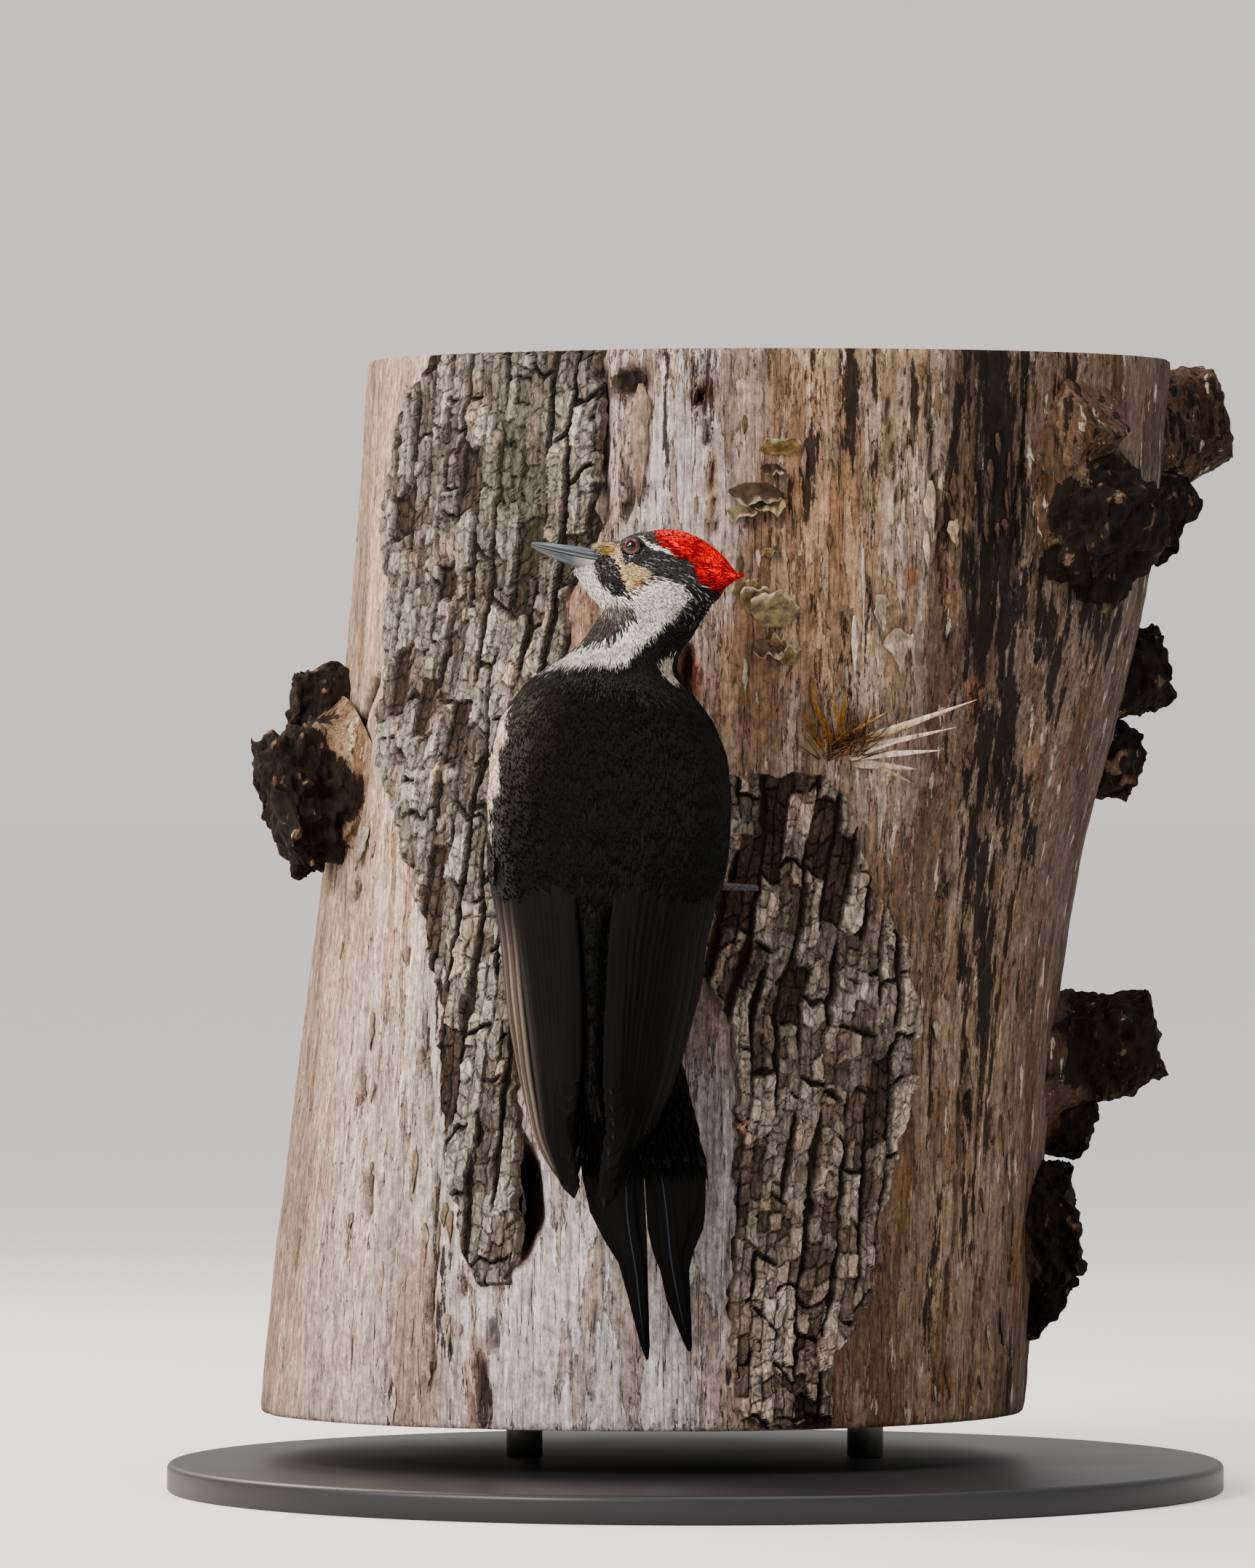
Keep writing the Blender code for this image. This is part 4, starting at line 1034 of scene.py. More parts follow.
def horn(name, code, pale_code, dark_code, streak_at, pale_back):
    """Horn sheath with streaks along it, a darker line at one height and a paler base."""
    material, shader, add = new_material(name, Roughness=0.42, IOR=KERATIN_IOR,
                                         Specular_IOR_Level=0.35)
    where = add("SeparateColor", {"Color": add("VertexColor", layer_name="horn")})
    height, ahead = where.outputs["Red"], where.outputs["Green"]
    lines = add("Mapping", {"Vector": add("CombineXYZ", (height, ahead)), "Scale": (14, 2.2, 1)})
    grain = add("TexNoise", {"Vector": lines, "Scale": 1.0, "Detail": 5})
    tint = add("ValToRGB", (grain,), stops=((0.34, dark_code), (0.62, code)))
    off = add("Math", (add("Math", (height, streak_at), operation="SUBTRACT"),),
              operation="ABSOLUTE")
    dark = add("MapRange", {"Value": off, "From Min": 0.05, "From Max": 0.22, "To Min": 0.92,
                            "To Max": 0})
    tint = add("Mix", {"Factor": dark, "A": tint, "B": dark_code}, data_type="RGBA")
    back = add("MapRange", dict(zip(("From Min", "From Max", "To Min", "To Max", "Value"),
                                    (*pale_back, ahead))))
    tint = add("Mix", {"Factor": back, "A": tint, "B": pale_code}, data_type="RGBA")
    bump = add("Bump", {"Height": grain, "Strength": 0.3, "Distance": 0.15 * MM})
    feed(shader, {"Base Color": tint, "Normal": bump})
    return material


bill_half("upper_bill", UPPER_SECTION, "bill_upper", 1, horn(
    "upper bill horn", "#666d77", "#5d6267", "#111316", 0.32, (0.0, 0.35, 0.15, 0)))
bill_half("lower_bill", LOWER_SECTION, "bill_lower", 3, horn(
    "lower bill horn", "#595e64", "#bdb9b1", "#141618", 0.05, (0.02, 0.45, 0.75, 0)))


# --- The eyes ------------------------------------------------------------------------
# Glass eyes: a black pupil and a red-brown iris painted behind a clear glass dome, each
# set in a ring of bare dark lid skin.

EYE_RADIUS, PUPIL, IRIS = 5, 2.4, 3.35
LID_TURNS, LID_SIDES = 64, 12
# Glass over a painted iris: rings of colour round the eye's own axis.
glass_eye, shader, add = new_material("glass eye", Roughness=0.05, IOR=1.45, Coat_Weight=0.3,
                                      Coat_Roughness=0.02)
rings = add("SeparateColor", {"Color": add("VertexColor", layer_name="rings")})
feed(shader, {"Base Color": add("ValToRGB", (rings,), stops=(
    (0.0, "#050404"), (PUPIL / EYE_RADIUS - 0.02, "#050404"), (PUPIL / EYE_RADIUS + 0.02, "#34130a"),
    (0.58, "#6c2f1c"), (IRIS / EYE_RADIUS - 0.03, "#7c3a26"), (IRIS / EYE_RADIUS, "#1d0e0a"),
    (0.76, "#0b0908")))})
lid_skin, _, _ = new_material("bare lid skin", Base_Color="#1f1c1d", Roughness=0.42, IOR=1.45)
for side, eye, out in (("left", left_eye, HEAD_LEFT), ("right", right_eye, -HEAD_LEFT)):
    look = unit(out + 0.1 * HEAD_AHEAD + 0.05 * HEAD_UP)
    ball = bmesh.new()
    bmesh.ops.create_uvsphere(ball, u_segments=48, v_segments=48, radius=EYE_RADIUS * MM)
    mesh = to_mesh("glass_eye_" + side, ball)
    points = column(mesh.vertices, "co", np.float32)
    reach = np.where(points[:, 2] > 0, np.hypot(points[:, 0], points[:, 1]) / EYE_RADIUS / MM, 1)
    set_colours(mesh, "rings", np.stack([reach, reach, reach], 1))
    placed = Vector(look).to_track_quat("Z", "Y").to_matrix().to_4x4()
    placed.translation = Vector(eye)
    mesh.transform(placed)
    mesh.shade_smooth()
    add_piece(mesh, "eye", glass_eye, "eye_" + side)
    # The lids: a soft ring with a little point towards the bill.
    turn = np.linspace(0, 2 * math.pi, LID_TURNS, endpoint=False)[:, None, None]
    front = unit(HEAD_AHEAD - (HEAD_AHEAD @ look) * look)
    over = unit(HEAD_UP - (HEAD_UP @ look) * look - (HEAD_UP @ front) * front)
    point = 0.5 * np.maximum(0, np.cos(turn)) ** 8 + 0.25 * np.maximum(0, -np.cos(turn)) ** 8
    middle = eye + (front * np.cos(turn) + over * np.sin(turn) * 0.95) * (3.75 + point) * MM
    middle = middle + look * (3.25 - 1.1 * point) * MM
    outwards = front * np.cos(turn) + over * np.sin(turn)
    a = np.linspace(0, 2 * math.pi, LID_SIDES, endpoint=False)[:, None]
    ring = middle + (outwards * np.cos(a) * 0.62 + look * np.sin(a) * 0.5) * MM
    faces = grid_faces(LID_TURNS + 1, LID_SIDES, True) % (LID_TURNS * LID_SIDES)
    add_piece(facing_out(triangle_mesh("lids_" + side, ring.reshape(-1, 3), faces)),
              "face_plumage", lid_skin)


# --- Feet and claws ------------------------------------------------------------------
# Legs and toes in grey horny scales, cast over wire in a mount, with black horn claws.

# Bird-leg skin: small horny scales with pale worn rims.
leg_skin, shader, add = new_material("scaly leg skin", Roughness=0.5, IOR=1.5)
scales = add("TexVoronoi", {"Vector": add("TexCoord").outputs["Object"], "Scale": 620},
             feature="DISTANCE_TO_EDGE")
bump = add("Bump", {"Height": scales, "Strength": 0.6, "Distance": 0.3 * MM})
feed(shader, {"Normal": bump, "Base Color": add(
    "ValToRGB", (scales,), stops=((0, "#1d1c1c"), (0.3, "#4c4a48")))})
# Claw horn: black, worn paler in places.
claw_horn, shader, add = new_material("claw horn", Roughness=0.35, IOR=KERATIN_IOR)
worn = add("TexNoise", {"Vector": add("TexCoord").outputs["Object"], "Scale": 700})
feed(shader, {"Base Color": add("ValToRGB", (worn,), stops=((0, "#141313"), (1, "#5c5a58")))})
for side in ("left", "right"):
    for name, names, slot, material, modifiers in (
            ("leg_" + side, ["tarsus_" + side, "foot_" + side], "scaly_skin", leg_skin,
             [("DISPLACE", {"strength": 0.25 * MM, "mid_level": 0}),
              ("REMESH", {"mode": "VOXEL", "voxel_size": 0.55 * MM}),
              ("SMOOTH", {"factor": 0.5, "iterations": 6})]),
            ("claws_" + side, [f"claw_{side}_{i}" for i in (1, 2, 3, 4)], "claw_horn", claw_horn,
             [("SUBSURF", {"levels": 2, "render_levels": 2})])):
        item = applied(new_object(name, to_mesh(name, joined(names))), *modifiers)
        item.data.shade_smooth()
        dress(declare(item, slot, *names), material)




# --- The trunk's bare wood -----------------------------------------------------------
# A cut length of a standing dead broadleaf tree, most of its bark gone. The sapwood has
# weathered to silver and cream, stained brown and black in streaks by rain and fungus,
# and is drilled, split along the grain and soft in places.

LOG_FOOT, LOG_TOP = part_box("perch_log")[0][2], 0.5615
LOG_SIDES = np.array([(36, -25.5, 10.5), (100, -20.3, 9.6), (300, 1.4, 8.0), (450, 28, 17.5),
                      (562, 39, 19.5)]) * MM
LOG_DEPTH, LOG_RADIUS = 57.5 * MM, 182 * MM
CAMERA_SPOT = np.array([-0.0336, -5.233, 0.350])
CAMERA_AWAY = 5


def ease(z, column):
    """A smooth reading of a column of the log's table of sides."""
    heights, values = LOG_SIDES[:, 0], LOG_SIDES[:, column]
    slopes = np.gradient(values, heights)
    i = np.clip(np.searchsorted(heights, z) - 1, 0, len(heights) - 2)
    span = heights[i + 1] - heights[i]
    t = np.clip((z - heights[i]) / span, 0, 1)
    return ((1 + 2 * t) * (1 - t) ** 2 * values[i] + t * (1 - t) ** 2 * span * slopes[i]
            + t * t * (3 - 2 * t) * values[i + 1] + t * t * (t - 1) * span * slopes[i + 1])


def log_point(turn, z, out):
    """A point on the log, turned from its front to the right, that far above the wood."""
    wide = ease(z, 2)
    radius = (LOG_RADIUS + wide * np.sin(turn) ** 2 + 1.5 * MM * np.sin(3 * turn + 9 * z)
              + 0.9 * MM * np.sin(5 * turn - 7 * z)) + out
    return np.stack([ease(z, 1) + radius * np.sin(turn), LOG_DEPTH - radius * np.cos(turn),
                     z + turn * 0], -1)


def seen(points):
    """Where a point of the trunk shows from the front, in millimetres across and up."""
    away = points[..., 1] - CAMERA_SPOT[1]
    return [(CAMERA_SPOT[k] + (points[..., k] - CAMERA_SPOT[k]) * CAMERA_AWAY / away) / MM
            for k in (0, 2)]


# Holes, slits, scars and hollows of the bare wood: middle across and up as seen from the
# front, half width, half height, how deep, and how dark their painted shade is.
HOLES = [
    (1, 534, 2.6, 4.5, 7, 1.0), (-33, 541, 9, 7, 5, 0.85), (-77, 452, 5, 5, 4, 0.7),
    (33, 549, 3.6, 12, 2.5, 0.35), (-34, 488, 2.2, 17, 4, 0.8), (3.5, 517, 2, 8, 4, 0.85),
    (-161, 210, 2.2, 12, 5, 0.9), (-159, 155, 2.6, 13, 6, 0.9), (-163, 300, 1.5, 6, 4, 0.8),
    (-177, 347, 11, 9, 9, 1.0), (-139, 268, 1.3, 5, 3, 0.7), (-112, 112, 3, 6, 4, 0.7),
    (120, 300, 2, 5, 4, 0.8), (-6, 398, 5, 20, 7, 0.8), (-85, 153, 11, 32, 13, 1.0),
    (-26, 405, 5, 16, 4, 0.8), (-104, 60, 4, 22, 5, 0.8), (-98, 88, 3, 9, 4, 0.8),
    (140, 190, 2, 12, 3, 0.6), (150, 120, 2.4, 10, 3, 0.7), (-132, 440, 2.5, 10, 3, 0.5)]
# Long cracks, darkened with painted shade: across and up of the two ends as seen, half width,
# depth, darkness of the shade.
CRACKS = [(-152, 404, -163, 374, 1.8, 4, 0.9), (-162, 378, -172, 344, 3.0, 7, 1.0),
          (-125, 176, -128, 60, 1.5, 3.5, 0.85), (-131, 250, -127, 176, 1.0, 2.5, 0.7),
          (-49, 110, -51, 38, 0.7, 2, 0.7), (-146, 150, -150, 50, 0.6, 1.5, 0.5),
          (-12, 60, -14, 36, 0.6, 1.5, 0.5), (14, 150, 13, 100, 0.7, 1.5, 0.5),
          (118, 330, 112, 225, 1.0, 2.5, 0.6), (128, 220, 118, 90, 1.3, 3, 0.65),
          (5, 562, 3, 510, 1.0, 3, 0.8), (5, 510, 8, 466, 1.0, 2.5, 0.7),
          (-33, 505, -38, 470, 0.8, 2, 0.7), (-46, 556, -45, 466, 2.4, 4, 0.9),
          (108, 555, 120, 400, 1.5, 3, 0.7), (158, 560, 150, 430, 1.6, 3, 0.7),
          (-75, 150, -100, 120, 1.0, 2, 0.5), (90, 540, 96, 470, 1.2, 2.5, 0.7)]


def line_gap(across, height, x0, z0, x1, z1):
    """How far seen points are from a line between two, and how far along they are."""
    dx, dz = x1 - x0, z1 - z0
    t = ((across - x0) * dx + (height - z0) * dz) / (dx * dx + dz * dz)
    held = np.clip(t, 0, 1)
    return np.hypot(across - x0 - held * dx, height - z0 - held * dz), t


def carve(points):
    """How far the wood sinks, and how dark its painted shade is, in its holes and cracks."""
    across, height = seen(points)
    across = across + 1.6 * waver(points, (9, 9, 14), 5) + 0.7 * waver(points, (3, 3, 5), 6)
    depth = np.zeros(across.shape)
    dark = np.zeros(across.shape)
    for x, z, half, tall, deep, tone in HOLES:
        gap = np.sqrt(((across - x) / half) ** 2 + ((height - z) / tall) ** 2)
        hit = 1 - fade(gap, 0.55, 1.15)
        depth = np.maximum(depth, hit * deep)
        dark = np.maximum(dark, hit * tone)
    for x0, z0, x1, z1, half, deep, tone in CRACKS:
        gap, t = line_gap(across, height, x0, z0, x1, z1)
        taper = fade(t, -0.02, 0.15) * fade(1 - t, -0.02, 0.15)
        hit = 1 - fade(gap, 0.3 * half, 1.2 * half * (0.3 + 0.7 * taper) + 0.2)
        depth = np.maximum(depth, hit * deep * taper)
        dark = np.maximum(dark, hit * tone * taper)
    return depth, dark


# The wood's tone across its seen width, from left to right, low and high on the trunk: its own
# colour, with painted shade that darkens it towards the edges and the right side.
LOW_TONES = [(0, "#998776"), (0.05, "#b9a999"), (0.13, "#c3b6ab"), (0.2, "#cbc1b7"),
             (0.3, "#c9c2bd"), (0.45, "#cac6c4"), (0.6, "#b0a8a2"), (0.68, "#a08f7e"),
             (0.8, "#8b7560"), (0.9, "#a08a72"), (1, "#6f6053")]
HIGH_TONES = [(0, "#a08b75"), (0.05, "#cdb8a0"), (0.12, "#dccdbb"), (0.22, "#c9bbab"),
              (0.32, "#b5a89d"), (0.38, "#cbc2bb"), (0.44, "#b3a9a1"), (0.49, "#9a8572"),
              (0.56, "#a8917a"), (0.63, "#ab947c"), (0.7, "#b6a28b"), (0.76, "#6b5c50"),
              (0.81, "#8f7f70"), (0.9, "#8d7c6c"), (1, "#66594e")]
# Long dark stains that run down the grain: across, top, foot, half width, strength.
STAINS = [
    (143, 575, 335, 20, 0.8), (168, 480, 380, 14, 0.5), (68, 556, 500, 9, 0.62),
    (-12, 560, 440, 30, 0.26), (-14, 528, 500, 9, 0.5), (-27, 523, 514, 3, 0.6),
    (138, 560, 410, 7, 0.3), (136, 400, 215, 9, 0.7), (150, 345, 250, 5, 0.5),
    (122, 545, 470, 4, 0.6), (128, 330, 120, 5, 0.55), (100, 562, 480, 5, 0.6),
    (84, 562, 505, 3, 0.55), (167, 470, 380, 8, 0.6), (112, 250, 60, 3, 0.5),
    (52, 508, 474, 9, 0.6), (40, 560, 400, 26, 0.2), (66, 430, 395, 12, 0.35),
    (133, 230, 60, 3, 0.4), (-65, 462, 424, 4, 0.8), (80, 540, 400, 4, 0.35),
    (-122, 260, 190, 4, 0.45), (-118, 130, 60, 5, 0.55), (178, 560, 480, 12, 0.5),
    (-18, 440, 380, 8, 0.6), (-100, 76, 36, 7, 0.5), (8, 75, 36, 5, 0.4),
    (190, 470, 410, 14, 0.75), (156, 420, 300, 5, 0.5), (146, 150, 40, 5, 0.45)]
# Patches of another colour, one of them a painted shadow: middle across and up, half width, half
# height, code, strength.
PATCHES = [
    (-56, 432, 10, 42, "#9c7560", 0.6), (7, 490, 4, 22, "#8f6444", 0.6),
    (0, 533, 5, 8, "#6f4d36", 0.7), (-34, 541, 11, 9, "#54483a", 0.7),
    (55, 470, 34, 90, "#a58f78", 0.35), (133, 392, 4.5, 11, "#c08850", 0.7),
    (99, 447, 3, 7, "#8a604a", 0.7), (121, 445, 6, 19, "#b3aaa2", 0.6),
    (-84, 150, 9, 26, "#a1583c", 0.8), (-8, 392, 8, 26, "#8a5138", 0.7),
    # The grey patch right of the tail, at 4 across and 205 up, is a painted shadow of the bird.
    (4, 205, 9, 70, "#86807f", 0.65), (-134, 84, 14, 52, "#7b6353", 0.6),
    (-104, 60, 9, 34, "#86695a", 0.6), (14, 395, 26, 50, "#a99078", 0.4)]
# Painted shade for holes and cracks: near black.
SHADE_IN_HOLES = np.array(linear("#17120f"))
# How much the outer layer has peeled at shares of the seen width.
PEELED = np.array([(0, 0.16), (0.12, 0.3), (0.25, 0.34), (0.34, 0.5), (0.5, 0.56),
                   (0.75, 0.56), (0.9, 0.4), (1, 0.4)])


def tone_of(share, tones):
    """A colour between the tones of a list, at shares of the way across."""
    table = np.array([(place, *linear(code)) for place, code in tones])
    return np.stack([look_up(table, share, k) for k in (1, 2, 3)], -1)


def wood_look(points, dark):
    """The wood's colour, shade painted in its holes, and how stained, peeled and shaded it is, at its
    points.
    """
    across, height = seen(points)
    z = points[..., 2]
    left, right = (seen(log_point(turn, z, 0))[0] for turn in (-1.5, 1.5))
    share = np.clip((across - left) / (right - left), 0, 1)
    share = share + 0.03 * waver(points, (16, 16, 110), 21) + 0.012 * waver(points, (5, 5, 60), 22)
    rise = fade(height, 150, 430)[..., None]
    colour = tone_of(share, LOW_TONES) * (1 - rise) + tone_of(share, HIGH_TONES) * rise
    streak = (0.5 * waver(points, (11, 11, 150), 23) + 0.35 * waver(points, (5, 5, 70), 24)
              + 0.25 * waver(points, (2.6, 2.6, 40), 25))
    colour = colour * (1 + 0.3 * streak)[..., None]
    warm = fade(waver(points, (14, 14, 60), 26) + 0.6 * waver(points, (6, 6, 22), 27), 0.15, 0.8)
    warm = (warm * (0.35 + 0.4 * fade(share, 0.4, 0.65)))[..., None]
    colour = colour * (1 - warm) + colour * np.array([1.04, 0.94, 0.82]) * warm
    heart = (fade(share, 0.42, 0.55) * (1 - fade(share, 0.7, 0.8)) * rise[..., 0])[..., None]
    colour = colour * (np.array([0.8, 0.8, 0.83]) + heart * np.array([0.02, 0.07, 0.14]))
    stain = np.zeros(across.shape)
    drift = 5 * waver(points, (12, 12, 45), 28) + 2 * waver(points, (4, 4, 9), 30)
    for x, top, foot, half, strength in STAINS:
        side = 1 - fade(np.abs(across + drift - x), half * 0.3, half * 1.4)
        ends = fade(height, foot - 30, foot + 20) * (1 - fade(height, top - 8, top + 20))
        stain = np.maximum(stain, side * ends * strength)
    for x, z, half, tall, code, strength in PATCHES:
        gap = np.sqrt(((across + drift - x) / half) ** 2 + ((height + drift - z) / tall) ** 2)
        hit = ((1 - fade(gap, 0.6, 1.25)) * strength)[..., None]
        colour = colour * (1 - hit) + colour / colour.mean(-1, keepdims=True) ** 0.7 * np.array(
            linear(code)) * hit
    # Painted shade: holes and cracks darkened towards near black.
    colour = colour * (1 - dark)[..., None] + SHADE_IN_HOLES * dark[..., None]
    peel = look_up(PEELED, share) + 0.12 * waver(points, (30, 30, 60), 33)
    peel = peel - 0.16 * (1 - fade(height, 90, 200)) * (1 - fade(across, 0, 40))
    wear = np.stack([stain, peel, dark], -1)
    return np.clip(colour, 0, 1), np.clip(wear, 0, 1)


front_turns = np.arange(-1.72, 1.72, 0.0122)
back_turns = np.linspace(1.72, 2 * math.pi - 1.72, 96)
turns = np.concatenate([front_turns, back_turns[:-1]])
levels = np.linspace(LOG_FOOT, LOG_TOP, 236)
turn_grid, z_grid = np.meshgrid(turns, levels)
plain = log_point(turn_grid, z_grid, 0)
depth, dark = carve(plain)
facing = np.cos(turn_grid) > -0.25
depth, dark = depth * facing, dark * facing
ripple = (0.9 * waver(plain, (16, 16, 120), 41) + 0.45 * waver(plain, (6, 6, 60), 42)
          + 0.3 * waver(plain, (2.5, 2.5, 24), 43) + 0.25 * waver(plain, (4, 4, 6), 44))
edge = fade(z_grid, LOG_FOOT, LOG_FOOT + 4 * MM) * fade(-z_grid, -LOG_TOP, -LOG_TOP + 4 * MM)
out = (ripple - 0.9) * MM - depth * MM * (0.3 + 0.7 * edge) - (1 - edge) * 0.8 * MM
points = log_point(turn_grid, z_grid, out)
colours, wear = wood_look(plain, dark)
faces = grid_faces(len(levels), len(turns), True)
# Each sawn end: rings of points from the rim in to the heart, with drying checks.
parts, tints, caps = [points.reshape(-1, 3)], [colours.reshape(-1, 3)], []
size = len(parts[0])
n = len(turns)
SAWN_RINGS = (0.985, 0.9, 0.75, 0.55, 0.3, 0.1)
RING_TINT, HEART_TINT = linear("#b59c7d"), linear("#a08768")
for row, z, order in ((0, LOG_FOOT, -1), (len(levels) - 1, LOG_TOP, 1)):
    heart = np.array([float(ease(z, 1)), LOG_DEPTH, z])
    before = np.arange(n) + row * n
    for inward in SAWN_RINGS:
        ring = heart + (points[row] - heart) * inward
        check = np.abs(np.sin(turns * 3.5 + 1.2)) ** 40 * (0.3 + inward) * 2
        ring[:, 2] = z - order * check * MM * (inward < 0.98)
        parts.append(ring)
        index = size + np.arange(n)
        next_out, next_in = np.roll(before, -1), np.roll(index, -1)
        caps += [np.stack([before, next_out, next_in], 1)[:, ::order],
                 np.stack([before, next_in, index], 1)[:, ::order]]
        size += n
        before = index
    parts.append(heart[None])
    tints += [np.tile(RING_TINT, (n * len(SAWN_RINGS), 1)), np.array([HEART_TINT])]
    caps.append(np.stack([before, np.roll(before, -1), np.full(n, size)], 1)[:, ::order])
    size += 1
cap_faces = np.concatenate(caps)
mesh = triangle_mesh("bare_wood", np.concatenate(parts), np.concatenate([faces, cap_faces]))
set_colours(mesh, "wood", np.concatenate(tints))
worn = np.zeros((size, 3))
worn[:wear.size // 3] = wear.reshape(-1, 3)
set_colours(mesh, "wear", worn)


def grain_noise(add, place, stretch, scale, detail, roughness):
    """Noise drawn out along the trunk."""
    along = add("Mapping", {"Vector": place, "Scale": (1, 1, stretch)})
    return add("TexNoise", {"Vector": along, "Scale": scale, "Detail": detail,
                            "Roughness": roughness})


def weathered(name, roughness, fleck, crack):
    """Dry wood in the colours given to its points, shade painted in among them: fibres, peeled
    layers with a painted shadow at their step, black stains, pale flecks, splits.
    """
    material, shader, add = new_material(name, Roughness=roughness, IOR=1.45,
                                         Specular_IOR_Level=0.25)
    place = add("TexCoord").outputs["Object"]
    shade = add("VertexColor", layer_name="wood")
    wear = add("SeparateColor", {"Color": add("VertexColor", layer_name="wear")})
    fibre = grain_noise(add, place, 0.1, 560, 7, 0.72)
    strand = grain_noise(add, place, 0.04, 170, 5, 0.6)
    mottle = grain_noise(add, place, 0.65, 300, 9, 0.75)
    for noise, gain, base in ((fibre, 2.4, -0.24), (mottle, 3.0, -0.55), (strand, 1.2, 0.37)):
        tone = add("Math", (noise, gain, base), operation="MULTIPLY_ADD")
        shade = add("VectorMath", {0: shade, 3: tone}, operation="SCALE")
    # Where the outer layer has peeled, browner wood shows, with a shadowed step round it.
    layers = add("Math", (wear.outputs["Green"], 0.36, grain_noise(add, place, 0.15, 85, 9, 0.62)),
                 operation="MULTIPLY_ADD")
    under = add("MapRange", {"Value": layers, "From Min": 0.68, "From Max": 0.695})
    browner = add("VectorMath", (shade, (0.74, 0.67, 0.61)), operation="MULTIPLY")
    step = add("Math", (layers, 0.685, 0.007), operation="COMPARE")
    flecks = add("MapRange", {"Value": grain_noise(add, place, 0.2, 150, 6, 0.65),
                              "From Min": 0.62, "From Max": 0.635, "To Max": fleck})
    # Black rain stain and mould, broken up in strands and specks at its edges.
    specks = add("Math", (grain_noise(add, place, 0.25, 250, 10, 0.78), 1.3), operation="MULTIPLY")
    specks = add("Math", (strand, 1.4, specks), operation="MULTIPLY_ADD")
    specks = add("Math", (wear, 0.6, specks), operation="MULTIPLY_ADD")
    black = add("MapRange", {"Value": specks, "From Min": 1.64, "From Max": 1.72, "To Max": 0.92})
    splits = add("Math", (grain_noise(add, place, 0.03, 210, 4, 0.5), 0.5, 0.007),
                 operation="COMPARE")
    gape = add("MapRange", {"Value": mottle, "From Min": 0.44, "From Max": 0.54, "To Max": crack})
    split = add("Math", (splits, gape), operation="MULTIPLY")
    shadow = add("Math", (step, 0.5), operation="MULTIPLY")
    for part, tint in ((under, browner), (shadow, "#241a13"), (flecks, "#d6cbbb"),
                       (black, "#191411"), (split, "#2a2019")):
        shade = add("Mix", {"Factor": part, "A": shade, "B": tint}, data_type="RGBA")
    rise = add("Math", (fibre, mottle), operation="ADD")
    for part, way in ((split, "SUBTRACT"), (under, "SUBTRACT"), (flecks, "ADD")):
        rise = add("Math", (rise, part), operation=way)
    bump = add("Bump", {"Height": rise, "Strength": 0.85, "Distance": 0.9 * MM})
    feed(shader, {"Base Color": shade, "Normal": bump})
    return material


dry_wood = weathered("weathered sapwood", 0.85, 0.5, 0.9)
# The sawn ends: growth rings round the heart, drying checks that run out from it, and the
# grey that comes with age.
sawn, shader, add = new_material("sawn end grain", Roughness=0.8, IOR=1.45)
place = add("TexCoord").outputs["Object"]
heart = add("Mapping", {"Vector": place, "Location": (-0.012, -LOG_DEPTH, 0),
                        "Scale": (1, 1, 0.001)})
years = add("TexWave", {"Vector": heart, "Scale": 62, "Distortion": 2.5, "Detail": 1,
                        "Detail Scale": 0.25}, wave_type="RINGS", rings_direction="Z")
tint = add("ValToRGB", (years.outputs["Fac"],), stops=((0, "#7d6345"), (1, "#b59b78")))
turn_round = add("Math", (add("TexGradient", (heart,), gradient_type="RADIAL").outputs["Fac"], 34),
                 operation="MULTIPLY")
rays = add("TexNoise", {"W": turn_round, "Scale": 1, "Detail": 3}, noise_dimensions="1D")
checks = add("MapRange", {"Value": rays, "From Min": 0.655, "From Max": 0.67, "To Max": 0.85})
weather = add("TexNoise", {"Vector": place, "Scale": 22, "Detail": 8, "Roughness": 0.65})
grey = add("MapRange", {"Value": weather, "From Min": 0.35, "From Max": 0.65, "To Max": 0.7})
for part, code in ((grey, "#8f857a"), (checks, "#2a211a")):
    tint = add("Mix", {"Factor": part, "A": tint, "B": code}, data_type="RGBA")
feed(shader, {"Base Color": tint})
add_piece(mesh, "weathered_wood", dry_wood, "perch_log")
mesh.materials.append(sawn)
mesh.polygons.foreach_set(
    "material_index", np.repeat([0, 1], [len(faces), len(cap_faces)]).astype(np.int32))




# --- The bark that is left --------------------------------------------------------------
# Old bark in stiff grey plates, split by deep furrows along the trunk and shallow cracks
# across, layered like slate where pieces have come away. It still sits tight on the wood.

BARK_LEFT = np.array([
    # height, left edge, right edge
    (102, -104, -92), (108, -109, -88), (135, -116, -86), (170, -122, -85), (204, -125, -86),
    (239, -126, -87), (273, -131, -80), (308, -140, -62), (342, -150, -58), (377, -157, -60),
    (411, -151, -63), (440, -152, -61), (460, -152, -50), (480, -153, -48), (529, -146, -46),
    (561, -130, -45)]) * MM
BARK_RIGHT = np.array([
    (36.6, 19, 68), (66, 17, 64), (101, 16, 86), (135, 17, 88), (170, 18, 98), (204, 18, 108),
    (239, 14, 108), (273, -14, 100), (308, -22, 84), (342, -20, 73), (358, -10, 56)]) * MM


def turn_at(x, z):
    """The turn from the log's front at which it lies that far across."""
    turn = np.zeros(np.broadcast(x, z).shape)
    for _ in range(6):
        turn = turn - (log_point(turn, z, 0)[..., 0] - x) / (LOG_RADIUS * np.cos(turn))
    return turn


